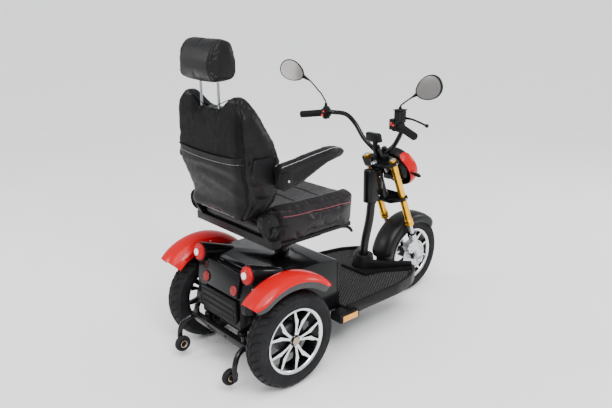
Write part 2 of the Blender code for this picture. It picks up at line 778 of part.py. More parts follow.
def mirrors():
    """Rear-view mirrors: a bent stem and an oval head that faces the rider."""
    for word, side in SIDES:
        foot_low = MIRROR_FOOT[side]
        foot_top = foot_low + Vector((0, 0, 0.016))
        bends = [(0.250, -0.166, 1.050), (0.264, -0.163, 1.062), (0.330, -0.158, 1.086),
                 (0.394, -0.136, 1.128)]
        path = smooth_path([foot_top - Vector((0, 0, 0.010)), foot_top + Vector((0, 0, 0.004)),
                            *(side_point(bend, side) for bend in bends)], 3)
        made = tube("mirror_" + word, path, 0.0040)
        head = rod("mirror_head", (0, -0.012, 0), (0, 0.007, 0), 0.034, 0.050, 28)
        head.scale = (1.0, 1.32, 1.0)
        yaw = math.radians(18.0 + 13.0 * side)
        head.rotation_euler = (Matrix.Rotation(yaw, 3, "Z")
                               @ Matrix.Rotation(math.radians(-26.0) * side, 3, "Y")
                               @ Matrix.Rotation(-math.pi / 2, 3, "X")
                               @ Matrix.Rotation(math.pi / 2, 3, "Z")).to_euler()
        head.location = side_point((0.4230, -0.1330, 1.1470), side)
        foot = rod("mirror_foot", foot_low, foot_top, 0.0075, sides=12)
        finish(join(made, head, foot), BLACK, 0.4)


def headlight():
    """A round headlight bowl with a red cowl ring, on the fork between the clamps."""
    bowl = [(0.0, 0.052), (0.045, 0.046), (0.078, 0.030), (0.086, 0.014), (0.084, 0.0), (0.066, -0.034),
            (0.030, -0.056), (0.0, -0.058)]
    ring = [(0.0870, 0.032), (0.100, 0.026), (0.106, 0.004), (0.102, -0.024), (0.0965, -0.024),
            (0.0885, 0.0), (0.0885, 0.016)]
    for name, profile, closed, colour in (("headlight_housing", bowl, False, BLACK),
                                          ("headlight_cowl", ring, True, RED)):
        made = turned(name, profile, closed=closed, steps=28)
        aim(made, (0, -math.cos(math.radians(27)), math.sin(math.radians(27))))
        made.location = (0.0, -0.452, 0.690)
        if not closed:
            stay = box("lamp_stay", (-0.020, -0.418, 0.640), (0.020, -0.372, 0.662))
            join(made, stay)
        hang(finish(made, colour, 0.2), STEER)


def display():
    """The instrument box on a short stay behind the handlebar."""
    made = box("display", (-0.040, -0.300, 0.838), (0.040, -0.258, 0.882), 0.006, 1, (1, 0.8), (0, 0.010))
    stay = box("display_stay", (-0.009, -0.292, 0.8025), (0.009, -0.276, 0.845))
    hang(finish(join(made, stay), BLACK, 0.3), STEER)


def ignition_key():
    """The key, with its chromed ring, in the lock on the upper clamp."""
    foot = fork_point(0, 0.046, UPPER_CLAMP + 0.0143)
    tip = fork_point(0, 0.046, UPPER_CLAMP + 0.022)
    made = rod("ignition_key", foot, tip, 0.0125, sides=20)
    blade = rod("key_blade", fork_point(0, 0.046, UPPER_CLAMP + 0.020),
                fork_point(0, 0.046, UPPER_CLAMP + 0.048), 0.0045, 0.008, 8)
    finish(join(made, blade), SILVER, 0.15, 1.0)


def fork_legs():
    """Sliding stanchions with the cast axle ends; the left one carries the axle."""
    profile = [(0.0, 0.470), (STANCHION_R, 0.470), (STANCHION_R, 0.150), (0.0170, 0.140),
               (0.0170, 0.020), (0.0150, -0.030), (0.0, -0.030)]
    for word, side in SIDES:
        made = turned("fork_leg_" + word, profile, steps=20)
        made.location = (FORK_X * side, 0, 0)
        boss = rod("axle_boss", (0.066 * side, 0, 0), (0.102 * side, 0, 0), 0.0150)
        boss.parent = FORK
        join(made, boss)
        if side > 0:
            axle = rod("front_axle", (-0.0655, 0, 0), (0.080, 0, 0), 0.0080)
            axle.parent = FORK
            join(made, axle)
        else:
            caliper = box("caliper", (-0.094, 0.008, 0.060), (-0.0600, 0.062, 0.118), 0.004)
            caliper.parent = FORK
            pads = box("disc_slot", (-0.0560, 0.0, 0.055), (-0.0480, 0.075, 0.125))
            pads.parent = FORK
            cut(join(made, caliper), pads)
        finish(made, SILVER, 0.3, 0.9, FORK)


def front_fender():
    """The wide mudguard over the front wheel, fixed to the fork's lower legs."""
    section = [(0.180, 0.0590), (0.205, 0.0610), (0.219, 0.0500), (0.224, 0.0250)]
    profile = [*section, *((radius, -height) for radius, height in reversed(section))]
    made = turned("front_fender", profile, steps=18, sweep=130.0)
    made.location = (0.0, FRONT_Y, AXLE_Z)
    made.rotation_euler = (Matrix.Rotation(math.pi / 2, 3, "Y")
                           @ Matrix.Rotation(math.radians(98.0), 3, "Z")).to_euler()
    skin = made.modifiers.new("solidify", "SOLIDIFY")
    skin.thickness = 0.003
    skin.offset = -1.0
    finish(made, BLACK, 0.5)


# ---------------------------------------------------------------- seat
def swivel_head():
    """The bearing on the post, with the lower halves of the slide rails."""
    made = rod("swivel_head", (0, POST_Y, POST_TOP + GAP), (0, POST_Y, 0.530), 0.042, sides=24)
    plate = box("swivel_plate", (-0.145, POST_Y - 0.100, 0.526), (0.145, POST_Y + 0.100, 0.534))
    join(made, plate)
    for side in (1, -1):
        join(made, box("lower_rail", (0.125 * side - 0.014, POST_Y - 0.130, 0.532),
                       (0.125 * side + 0.014, POST_Y + 0.130, 0.5440)))
    finish(made, BLACK, 0.4)


def seat_pan():
    """The steel pan under the cushion, with the cross tube that holds the recliners."""
    made = box("seat_pan", (-0.215, 0.085, 0.5620), (0.215, 0.520, SEAT_LOW - GAP), 0.004)
    for side in (1, -1):
        join(made, box("upper_rail", (0.125 * side - 0.011, 0.120, 0.5443), (0.125 * side + 0.011, 0.470, 0.566)))
    join(made, box("cross_tube", (-0.262, 0.512, 0.585), (0.262, 0.552, 0.618)))
    join(made, box("tube_web", (-0.200, 0.505, 0.570), (0.200, 0.520, 0.600)))
    for side in (1, -1):
        profile = [(0.515, 0.600), (0.545, 0.600), (0.588, 0.680), (0.583, 0.715), (0.552, 0.724),
                   (0.518, 0.690)]
        cheek = sorted((0.2140 * side, 0.2420 * side))
        join(made, slab("recliner", [rounded(profile, 0.012)], cheek[0], cheek[1], "YZ"))
    finish(made, BLACK, 0.4)


def seat_cushion():
    """Plain solid of the cushion: rounded in plan and rolled at the front."""
    plan = rounded(mirrored([(0.215, SEAT_REAR), (0.245, 0.420), (SEAT_HALF, 0.250), (0.244, 0.106),
                             (0.165, SEAT_FRONT)]), 0.04)
    made = slab("seat_cushion", [plan], SEAT_LOW, SEAT_TOP)
    bevelled(made, 0.026, 2)
    join(made, box("cushion_skirt", (-0.2105, 0.460, 0.6200), (0.2105, 0.5600, 0.6530), 0.006))
    finish(made, GREY_BLACK, 0.5)


def backrest_pad():
    """Plain solid of the backrest, with shoulders, a dip at the top and a narrow foot."""
    half = [(0.155, BACK_LOW), (0.192, 0.760), (0.230, 0.850), (BACK_HALF, 0.970), (0.230, 1.080),
            (0.182, BACK_TOP), (0.115, BACK_TOP - 0.008), (0.060, BACK_TOP - 0.036)]
    side_view = [(0.524, BACK_LOW), (0.487, 0.790), (0.491, 0.925), (0.516, 0.990), (0.580, 1.088),
                 (0.612, BACK_TOP), (0.646, BACK_TOP), (0.660, 1.090), (0.662, 0.950),
                 (0.652, 0.800), (0.642, BACK_LOW)]
    made = slab("backrest_pad", [rounded(mirrored(half), 0.030)], 0.46, 0.70, "XZ")
    profile = slab("backrest_profile", [rounded(side_view, 0.012, 2)], -0.30, 0.30, "YZ")
    bevelled(combine(made, profile, "INTERSECT"), 0.020)
    for side in (1, -1):
        cut(made, rod("post_socket", (HEAD_POST_X * side, HEAD_POST_Y, 0.980),
                      (HEAD_POST_X * side, HEAD_POST_Y, 1.20), 0.0082, sides=16))
    hang(finish(made, GREY_BLACK, 0.5), BACK)


def back_fittings():
    """Side plates that carry the armrests, and the hinge arms on the recliners."""
    for word, side in SIDES:
        outline = [(0.500, 0.838), (0.575, 0.838), (0.626, 0.880), (0.612, 0.945), (0.545, 0.945),
                   (0.500, 0.900)]
        ends = sorted(((BACK_HALF + GAP) * side, (ARM_IN - GAP) * side))
        plate = slab("armrest_bracket_" + word, [rounded(outline, 0.010)], ends[0], ends[1], "YZ")
        hang(finish(plate, BLACK, 0.4), BACK)


def headrest():
    """A rounded headrest on two steel posts that slide in the backrest."""
    high = 1.370
    low = 1.205
    front = 0.576
    back = 0.694
    profile = [(front + 0.005, low + 0.004), (front, 1.280), (front + 0.018, high - 0.010), (back - 0.045, high),
               (back - 0.008, high - 0.045), (back, low + 0.020), (back - 0.020, low)]
    pad = slab("headrest_pad", [rounded(profile, 0.030)], -HEAD_HALF, HEAD_HALF, "YZ")
    finish(bevelled(pad, 0.018, 2), GREY_BLACK, 0.5)
    post_y = HEAD_POST_Y
    posts = rod("headrest_posts", (HEAD_POST_X, post_y, 1.000), (HEAD_POST_X, post_y, 1.2010), 0.0060)
    other = rod("headrest_post", (-HEAD_POST_X, post_y, 1.000), (-HEAD_POST_X, post_y, 1.2010), 0.0060)
    bar = box("headrest_bar", (-0.075, post_y - 0.010, 1.1985), (0.075, post_y + 0.010, 1.2040))
    finish(join(posts, bar, other), SILVER, 0.2, 1.0)


def armrests():
    """Padded armrests that flip up on a hinge at their rear end."""
    for word, side in SIDES:
        outline = [(0.540, 0.820), (0.546, 0.916), (0.400, 0.940), (0.280, 0.954), (0.228, 0.946),
                   (0.212, 0.930), (0.228, 0.912), (0.310, 0.890), (0.440, 0.836)]
        ends = sorted((ARM_IN * side, ARM_OUT * side))
        pad = slab("armrest_" + word, [rounded(outline, 0.016, 2)], ends[0], ends[1], "YZ")
        finish(bevelled(pad, 0.008, 2), GREY_BLACK, 0.5)


def levers():
    """Hand levers: seat swivel on the right, seat slide on the left, recliner on its cheek."""
    for name, side in (("swivel_lever", -1), ("slide_lever", 1)):
        route = [(0.150, 0.160, 0.5525), (0.180, 0.110, 0.5520), (0.192, 0.078, 0.545), (0.197, 0.062, 0.525)]
        path = [side_point(point, side) for point in smooth_path(route, 3)]
        finish(tube(name, path, 0.0050), BLACK, 0.4)
    pivot = Vector((-0.2425, 0.535, 0.655))
    made = rod("recline_lever", pivot, pivot - Vector((0.012, 0, 0)), 0.016, sides=16)
    arm = tube("recline_arm", smooth_path([pivot - Vector((0.008, 0, 0)), pivot + Vector((-0.009, -0.040, 0.006)),
                                           pivot + Vector((-0.011, -0.075, 0.002))], 3), 0.0065)
    finish(join(made, arm), BLACK, 0.4)


# ---------------------------------------------------------------- build
def set_pivots():
    """Move the origins of the moving pieces that were built in place onto their axes."""
    pivots = {
        "armrest_left": ARM_PIVOT, "armrest_right": ARM_PIVOT,
        "seat_pan": (0, POST_Y, SEAT_LOW), "seat_cushion": (0, POST_Y, SEAT_LOW),
        "swivel_lever": (-0.150, 0.160, 0.5525), "slide_lever": (0.150, 0.160, 0.5525),
        "mirror_left": MIRROR_FOOT[1], "mirror_right": MIRROR_FOOT[-1],
        "brake_lever": (-0.206, -0.2300, 0.985),
    }
    bpy.context.view_layer.update()
    for name, pivot in pivots.items():
        obj = bpy.data.objects[name]
        shift = obj.matrix_world.inverted() @ Vector(pivot)
        obj.data.transform(Matrix.Translation(-shift))
        obj.location = pivot


clear_scene()
PARTS = new_collection("mobility_scooter")
GUIDES = new_collection("guides")
FORK = empty("fork_frame", (0.0, FRONT_Y, AXLE_Z), (-RAKE, 0.0, 0.0))
STEER = empty("steering_axis", fork_point(0, STEER_BACK, UPPER_CLAMP))
BACK = empty("recline_axis", RECLINE)
rear_wheels()
front_wheel()
anti_tip_wheels()
frame_rails()
floor_pan()
battery_pack()
seat_tower()
transaxle()
body_shell()
rear_panels()
tail_lamps()
rear_fenders()
anti_tip_frame()
foot_deck()
foot_mat()
column_boot()
steering_column()
steering_neck()
fork_tubes()
lower_clamp()
upper_clamp()
handlebar()
grips()
switch_pods()
horn_button()
brake_lever()
mirrors()
headlight()
display()
ignition_key()
fork_legs()
front_fender()
swivel_head()
seat_pan()
seat_cushion()
backrest_pad()
back_fittings()
headrest()
armrests()
levers()
set_pivots()
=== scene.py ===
"""The looks of the mobility scooter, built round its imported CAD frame.

Metres, +Z up, the front wheel towards -Y, the rider's right towards -X.
"""

import json
import math

import bmesh
import bpy
from mathutils import Matrix, Vector, noise
from mathutils.bvhtree import BVHTree

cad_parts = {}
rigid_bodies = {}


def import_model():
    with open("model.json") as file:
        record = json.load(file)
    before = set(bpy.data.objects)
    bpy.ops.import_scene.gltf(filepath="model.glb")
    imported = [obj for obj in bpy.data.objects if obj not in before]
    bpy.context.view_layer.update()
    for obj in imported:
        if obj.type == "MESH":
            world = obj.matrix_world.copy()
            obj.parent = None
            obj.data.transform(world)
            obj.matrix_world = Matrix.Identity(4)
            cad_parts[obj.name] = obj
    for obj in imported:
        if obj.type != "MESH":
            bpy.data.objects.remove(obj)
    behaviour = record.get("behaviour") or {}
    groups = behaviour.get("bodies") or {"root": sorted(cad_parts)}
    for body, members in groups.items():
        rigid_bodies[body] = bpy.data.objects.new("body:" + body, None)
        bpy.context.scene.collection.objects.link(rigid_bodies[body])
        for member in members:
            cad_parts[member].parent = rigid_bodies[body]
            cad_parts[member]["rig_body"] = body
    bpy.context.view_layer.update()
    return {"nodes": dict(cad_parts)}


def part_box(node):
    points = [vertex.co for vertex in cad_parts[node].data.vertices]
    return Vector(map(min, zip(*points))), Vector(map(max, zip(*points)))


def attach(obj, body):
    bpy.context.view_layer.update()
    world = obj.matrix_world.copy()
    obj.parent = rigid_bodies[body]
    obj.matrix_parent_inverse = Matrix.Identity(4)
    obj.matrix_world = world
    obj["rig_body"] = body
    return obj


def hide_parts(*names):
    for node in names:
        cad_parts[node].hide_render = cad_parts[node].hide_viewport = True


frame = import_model()

SIDES = (("left", 1), ("right", -1))
RAKE = math.radians(22.5)
GRAIN = 0.0017


# ---------------------------------------------------------------- places from the frame
def middle(node):
    low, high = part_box(node)
    return (low + high) / 2


FRONT_AXLE = middle("rim_front")
FRONT_AXLE.x = 0.0
FORK = Matrix.Translation(FRONT_AXLE) @ Matrix.Rotation(-RAKE, 4, "X")
FORK_X = abs(middle("fork_tube_left").x)
GRIP_IN = Vector((0.245, -0.177, 0.957))
GRIP_END = Vector((0.361, -0.133, 0.939))
FORK_UP = FORK.to_3x3() @ Vector((0, 0, 1))
AXLE = (1, 0, 0)
UP = (0, 0, 1)
DOWN = Vector((0, 0, -1))
FORWARD = Vector((0, -1, 0))
HEAD_POST_X, HEAD_POST_Y = 0.058, 0.628
CASTER_Y, CASTER_Z = 0.712, 0.067


def fork_point(across, back, along):
    """A point in the fork's own frame: across, behind the tubes' plane, up the tubes."""
    return FORK @ Vector((across, back, along))


def sided(point, side):
    return Vector((point[0] * side, point[1], point[2]))


def grip_point(side, along):
    direction = (GRIP_END - GRIP_IN).normalized()
    return sided(GRIP_IN + direction * along, side)


# ---------------------------------------------------------------- materials
def socket(shader, name, value):
    shader.inputs[name].default_value = value


def noise_node(tree, place, size, detail=3.0, rough=0.55):
    made = tree.nodes.new("ShaderNodeTexNoise")
    made.inputs["Scale"].default_value = 1.0 / size
    made.inputs["Detail"].default_value = detail
    made.inputs["Roughness"].default_value = rough
    tree.links.new(place, made.inputs["Vector"])
    return made.outputs["Fac"]


def cells_node(tree, place, size):
    """Distance to the edges of small cells, as in leather or pebbled plastic."""
    made = tree.nodes.new("ShaderNodeTexVoronoi")
    made.feature = "DISTANCE_TO_EDGE"
    made.inputs["Scale"].default_value = 1.0 / size
    tree.links.new(place, made.inputs["Vector"])
    return ranged(tree, made.outputs["Distance"], 0.0, 1.0, 0.0, 0.22)


def ranged(tree, value, low, high, start=0.3, end=0.7):
    made = tree.nodes.new("ShaderNodeMapRange")
    made.inputs["From Min"].default_value = start
    made.inputs["From Max"].default_value = end
    made.inputs["To Min"].default_value = low
    made.inputs["To Max"].default_value = high
    tree.links.new(value, made.inputs["Value"])
    return made.outputs["Result"]


def bumped(tree, shader, heights):
    """Chains bumps of (height output, depth in metres) into the shader's normal."""
    last = None
    for height, depth in heights:
        made = tree.nodes.new("ShaderNodeBump")
        made.inputs["Strength"].default_value = 1.0
        made.inputs["Distance"].default_value = depth
        tree.links.new(height, made.inputs["Height"])
        if last is not None:
            tree.links.new(last, made.inputs["Normal"])
        last = made.outputs["Normal"]
    tree.links.new(last, shader.inputs["Normal"])


def surface(name, colour, roughness, metallic=0.0, tint=0.15, patch=0.12, spread=0.06, grain=0.0006,
            depth=0.00003, cells=0.0, cell_depth=0.00012, coat=0.0, wave=0.0, wave_depth=0.002,
            dust=0.0, shine=0.5):
    """A material with colour patches, uneven gloss and a fine relief, all from its nodes."""
    made = bpy.data.materials.new(name)
    made.use_nodes = True
    tree = made.node_tree
    shader = tree.nodes["Principled BSDF"]
    place = tree.nodes.new("ShaderNodeTexCoord").outputs["Object"]
    mix = tree.nodes.new("ShaderNodeMix")
    mix.data_type = "RGBA"
    dark = [channel * (1.0 - tint) for channel in colour]
    light = [min(1.0, channel * (1.0 + tint) + dust) for channel in colour]
    mix.inputs["A"].default_value = (*dark, 1.0)
    mix.inputs["B"].default_value = (*light, 1.0)
    patches = noise_node(tree, place, patch, 4.0)
    tree.links.new(ranged(tree, patches, 0.0, 1.0), mix.inputs["Factor"])
    tree.links.new(mix.outputs["Result"], shader.inputs["Base Color"])
    smudges = noise_node(tree, place, patch * 0.23, 5.0, 0.6)
    low = max(0.02, roughness - spread)
    tree.links.new(ranged(tree, smudges, low, min(1.0, roughness + spread)), shader.inputs["Roughness"])
    socket(shader, "Metallic", metallic)
    socket(shader, "Specular IOR Level", shine)
    if coat:
        socket(shader, "Coat Weight", coat)
        socket(shader, "Coat Roughness", 0.06)
    heights = [(noise_node(tree, place, grain, 2.0), depth)]
    if cells:
        heights.append((cells_node(tree, place, cells), cell_depth))
    if wave:
        heights.append((noise_node(tree, place, wave, 2.0), wave_depth))
    bumped(tree, shader, heights)
    return made


def brushed(name, colour, roughness, centre):
    """Metal turned on a lathe about an axle along X: fine rings round its centre."""
    made = surface(name, colour, roughness, 1.0, 0.06, 0.03, 0.07)
    tree = made.node_tree
    shader = tree.nodes["Principled BSDF"]
    place = tree.nodes.new("ShaderNodeTexCoord").outputs["Object"]
    shift = tree.nodes.new("ShaderNodeVectorMath")
    shift.operation = "SUBTRACT"
    shift.inputs[1].default_value = centre
    tree.links.new(place, shift.inputs[0])
    rings = tree.nodes.new("ShaderNodeTexWave")
    rings.wave_type = "RINGS"
    rings.rings_direction = "X"
    rings.inputs["Scale"].default_value = 260.0
    rings.inputs["Distortion"].default_value = 0.6
    tree.links.new(shift.outputs["Vector"], rings.inputs["Vector"])
    bumped(tree, shader, [(rings.outputs["Fac"], 0.00002)])
    return made


def cross_hatched(name, colour, roughness, size, depth):
    """Woven webbing or knurled rubber: two crossed waves as the relief."""
    made = surface(name, colour, roughness, 0.0, 0.25, 0.05, 0.08, shine=0.12)
    tree = made.node_tree
    shader = tree.nodes["Principled BSDF"]
    place = tree.nodes.new("ShaderNodeTexCoord").outputs["Object"]
    heights = []
    for direction in ("X", "Y"):
        wave = tree.nodes.new("ShaderNodeTexWave")
        wave.bands_direction = direction
        wave.inputs["Scale"].default_value = 0.32 / size
        tree.links.new(place, wave.inputs["Vector"])
        heights.append((wave.outputs["Fac"], depth))
    bumped(tree, shader, heights)
    return made


GLOSS = surface("gloss_black", (0.0045, 0.0045, 0.0052), 0.20, grain=0.0012, depth=0.00002, coat=0.07,
                patch=0.2, spread=0.07, wave=0.06, wave_depth=0.00025, shine=0.14)
SATIN = surface("satin_black", (0.0055, 0.0055, 0.0060), 0.42, cells=0.0011, cell_depth=0.00004, shine=0.13)
FENDER = surface("fender_black", (0.0070, 0.0070, 0.0075), 0.36, grain=0.001, depth=0.00003,
                 wave=0.05, wave_depth=0.0003, shine=0.2)
PAINT = surface("frame_paint", (0.0050, 0.0050, 0.0055), 0.2, grain=0.0015, depth=0.00004, coat=0.08,
                shine=0.22)
LINER = surface("dark_grey_liner", (0.040, 0.041, 0.044), 0.55, cells=0.0012, cell_depth=0.00005, shine=0.3)
RED = surface("red_paint", (0.50, 0.0006, 0.0045), 0.22, tint=0.08, patch=0.3, spread=0.05, grain=0.002,
              depth=0.000015, coat=0.10, shine=0.14)
RED_PLASTIC = surface("red_button", (0.55, 0.01, 0.01), 0.35, tint=0.08)
LENS = surface("red_lens", (0.38, 0.0006, 0.0040), 0.12, tint=0.35, patch=0.008, spread=0.04,
               cells=0.0048, cell_depth=0.0004, coat=0.08, shine=0.2)
DARK_LENS = surface("dark_red_lens", (0.22, 0.0010, 0.0030), 0.14, tint=0.45, patch=0.008, spread=0.04,
                    cells=0.0052, cell_depth=0.0009, coat=0.15, shine=0.3)
WHITE_LENS = surface("white_lens", (0.86, 0.83, 0.80), 0.14, tint=0.07, patch=0.01, cells=0.003,
                     cell_depth=0.0003, coat=0.4)
AMBER = surface("amber_marker", (0.85, 0.33, 0.02), 0.25, tint=0.18, patch=0.01, cells=0.004,
                cell_depth=0.0005, coat=0.3)
RUBBER = surface("tyre_rubber", (0.0095, 0.0095, 0.0105), 0.60, tint=0.28, patch=0.05, spread=0.12,
                 grain=0.0009, depth=0.00012, dust=0.002, shine=0.12)
GRIP = cross_hatched("grip_rubber", (0.0075, 0.0075, 0.008), 0.6, 0.0022, 0.0003)
MAT = cross_hatched("mat_rubber", (0.0100, 0.0095, 0.0100), 0.75, 0.0038, 0.0006)
# painted highlight: the studs' grey is lighter than the mat so each bump shows the highlight light leaves on
# it
STUD_PAINTED_HIGHLIGHT = surface("mat_stud_painted_highlight", (0.040, 0.038, 0.039), 0.5, tint=0.4, patch=0.012, cells=0.0016)
STEEL = surface("satin_steel", (0.55, 0.56, 0.58), 0.3, 1.0, 0.08, 0.02, 0.1)
CHROME = surface("chrome", (0.72, 0.72, 0.74), 0.1, 1.0, 0.05, 0.05, 0.05, depth=0.00001)
POST = surface("post_steel", (0.30, 0.31, 0.33), 0.22, 1.0, 0.08, 0.05, 0.06)
CAST = surface("cast_silver", (0.66, 0.67, 0.69), 0.34, 0.85, 0.1, 0.03, 0.1, grain=0.0012, depth=0.0001)
GOLD = surface("gold_anodised", (0.92, 0.47, 0.025), 0.24, 0.9, 0.07, 0.1, 0.07)
BRONZE = surface("bronze_cap", (0.42, 0.33, 0.24), 0.35, 0.9, 0.12, 0.02, 0.1)
IRON = surface("cast_iron", (0.035, 0.035, 0.038), 0.5, 0.5, 0.2, 0.03, 0.12, grain=0.002, depth=0.0003)
MIRROR = surface("mirror_glass", (0.50, 0.48, 0.46), 0.16, 0.7, 0.05, 0.1, 0.03, depth=0.000002)
GLASS = surface("lamp_glass", (0.62, 0.64, 0.66), 0.07, 0.55, 0.12, 0.02, 0.04, cells=0.009,
                cell_depth=0.0006, coat=0.8)
SCREEN = surface("screen", (0.03, 0.045, 0.05), 0.08, tint=0.5, patch=0.02, coat=0.8)
LEATHER = surface("black_leather", (0.0058, 0.0054, 0.0060), 0.38, tint=0.22, patch=0.06, spread=0.09,
                  cells=GRAIN, cell_depth=0.00008, wave=0.045, wave_depth=0.0008, shine=0.16)
SEAT_LEATHER = surface("charcoal_leather", (0.0110, 0.0092, 0.0102), 0.38, tint=0.22, patch=0.06,
                       spread=0.09, cells=GRAIN, cell_depth=0.00009, wave=0.05, wave_depth=0.0010,
                       shine=0.2)
VINYL = surface("matte_vinyl", (0.0046, 0.0044, 0.0047), 0.5, tint=0.3, patch=0.08, spread=0.1,
                cells=GRAIN * 0.7, cell_depth=0.00007, wave=0.05, wave_depth=0.0008, shine=0.07)
POCKET = surface("pocket_vinyl", (0.0066, 0.0062, 0.0064), 0.44, tint=0.3, patch=0.07, spread=0.1,
                 cells=GRAIN, cell_depth=0.00007, wave=0.045, wave_depth=0.0010, shine=0.13)
ROSE = surface("rose_piping", (0.16, 0.030, 0.042), 0.5, tint=0.3, patch=0.01, cells=0.0012)
GREY_THREAD = surface("grey_thread", (0.34, 0.34, 0.35), 0.6, tint=0.3, patch=0.004, cells=0.0008)
RED_THREAD = surface("dark_red_thread", (0.085, 0.010, 0.013), 0.6, tint=0.3, patch=0.004, cells=0.0008)
BLACK_PIPING = surface("black_piping", (0.0062, 0.0058, 0.0062), 0.42, cells=0.0012, patch=0.01, shine=0.15)
FLOOR = surface("studio_floor", (0.92, 0.92, 0.92), 0.62, tint=0.015, patch=0.6, depth=0.00001)


# ---------------------------------------------------------------- shapes
def skin(rings, wrap=True, loop=False, caps=True):
    """Vertices and faces through rings of points that have one count."""
    count = len(rings[0])
    points = [tuple(point) for ring in rings for point in ring]
    faces = []
    for row in range(len(rings) if loop else len(rings) - 1):
        here = row * count
        there = (row + 1) % len(rings) * count
        for col in range(count if wrap else count - 1):
            after = (col + 1) % count
            faces.append((here + col, here + after, there + after, there + col))
    if caps and wrap and not loop:
        faces.append(tuple(reversed(range(count))))
        faces.append(tuple(range(len(points) - count, len(points))))
    return points, faces


def smooth_path(points, per_span=6, closed=False):
    """A Catmull-Rom curve through the points."""
    points = [Vector(point) for point in points]
    count = len(points)
    made = []
    for index in range(count if closed else count - 1):
        if closed:
            a, b, c, d = (points[(index + step) % count] for step in (-1, 0, 1, 2))
        else:
            b, c = points[index], points[index + 1]
            a = points[index - 1] if index else b * 2 - c
            d = points[index + 2] if index + 2 < count else c * 2 - b
        for step in range(per_span):
            t = step / per_span
            made.append(0.5 * (2 * b + (c - a) * t + (2 * a - 5 * b + 4 * c - d) * t * t
                               + (3 * b - a - 3 * c + d) * t ** 3))
    return made if closed else [*made, points[-1]]


def sweep(points, radius, sides=12, closed=False, flat=1.0):
    """A tube along the points. The radius is one number, or one for each point."""
    points = [Vector(point) for point in points]
    count = len(points)
    radii = radius if isinstance(radius, list) else [radius] * count
    rings = []
    up = None
    for index, point in enumerate(points):
        before = points[index - 1] if index or closed else point
        after = points[(index + 1) % count] if index < count - 1 or closed else point
        ahead = (after - before).normalized()
        if up is None:
            up = ahead.orthogonal().normalized()
        up = (up - ahead * up.dot(ahead)).normalized()
        across = ahead.cross(up)
        ring = []
        for step in range(sides):
            angle = math.tau * step / sides
            ring.append(point + (up * math.cos(angle) + across * (math.sin(angle) * flat)) * radii[index])
        rings.append(ring)
    return skin(rings, loop=closed)


def axes(direction):
    ahead = Vector(direction).normalized()
    side = ahead.orthogonal().normalized()
    return side, ahead.cross(side), ahead


def lathe(profile, origin, direction, steps=48, start=0.0, turn=360.0):
    """Turns (radius, along) points about a direction through origin."""
    side, other, ahead = axes(direction)
    origin = Vector(origin)
    whole = turn == 360.0
    rings = []
    for step in range(steps if whole else steps + 1):
        angle = math.radians(start + turn * step / steps)
        out = side * math.cos(angle) + other * math.sin(angle)
        rings.append([origin + out * radius + ahead * along for radius, along in profile])
    return skin(rings, wrap=False, loop=whole, caps=False)


def rod(start, end, radius, radius_end=None, sides=20):
    ends = [radius, radius if radius_end is None else radius_end]
    return sweep([start, end], ends, sides)


def dome(centre, direction, radius, height, steps=24, rings=6, base=0.0):
    """A low domed button or lens, closed at the back."""
    profile = [(0.0, base), (radius, base)]
    for step in range(rings + 1):
        angle = math.pi / 2 * step / rings
        profile.append((radius * math.cos(angle), height * math.sin(angle)))
    return lathe(profile, centre, direction, steps)


def box(low, high):
    """A plain block, for shapes whose edges are rounded when they are built."""
    (x0, y0, z0), (x1, y1, z1) = low, high
    bottom = [(x0, y0, z0), (x1, y0, z0), (x1, y1, z0), (x0, y1, z0)]
    top = [(x, y, z1) for x, y, _ in bottom]
    return skin([bottom, top])


def moved(shape, matrix):
    points, faces = shape
    return [tuple(matrix @ Vector(point)) for point in points], faces


def extruded(outline, low, high, plane="XY"):
    """A flat outline pulled along the axis that its plane doesn't name."""
    place = {"XY": lambda a, b, c: (a, b, c), "YZ": lambda a, b, c: (c, a, b),
             "XZ": lambda a, b, c: (a, c, b)}[plane]
    return skin([[place(a, b, level) for a, b in outline] for level in (low, high)])


def cap_screw(centre, direction, radius=0.004, height=0.003):
    """A socket screw's head with its hexagon hole."""
    profile = [(0.0, 0.0), (radius, 0.0), (radius, height * 0.7), (radius * 0.85, height),
               (radius * 0.5, height), (radius * 0.45, height * 0.4), (0.0, height * 0.4)]
    return lathe(profile, centre, direction, 12)


class Shape:
    """Gathers the faces of one piece, each with a material's number."""

    def __init__(self):
        self.points = []
        self.faces = []
        self.looks = []

    def add(self, shape, look=0):
        points, faces = shape
        start = len(self.points)
        self.points += points
        self.faces += [tuple(start + index for index in face) for face in faces]
        self.looks += [look] * len(faces)
        return self

    def build(self, name, body, slot, materials, angle=32.0, edge=0.0, stands_for=()):
        mesh = bpy.data.meshes.new(name)
        mesh.from_pydata(self.points, [], self.faces)
        mesh.polygons.foreach_set("material_index", self.looks)
        return settle(name, mesh, body, materials, angle, edge, stands_for)


def link(name, mesh):
    made = bpy.data.objects.new(name, mesh)
    bpy.context.scene.collection.objects.link(made)
    return made


def baked(obj):
    """Applies the object's modifiers."""
    bpy.context.view_layer.update()
    graph = bpy.context.evaluated_depsgraph_get()
    mesh = bpy.data.meshes.new_from_object(obj.evaluated_get(graph))
    obj.modifiers.clear()
    obj.data = mesh
    return obj


def rounded_edges(obj, width, segments=2):
    bevel = obj.modifiers.new("edges", "BEVEL")
    bevel.width = width
    bevel.segments = segments
    bevel.limit_method = "ANGLE"
    bevel.angle_limit = math.radians(38.0)
    bevel.use_clamp_overlap = True
    bevel.harden_normals = False
    return baked(obj)


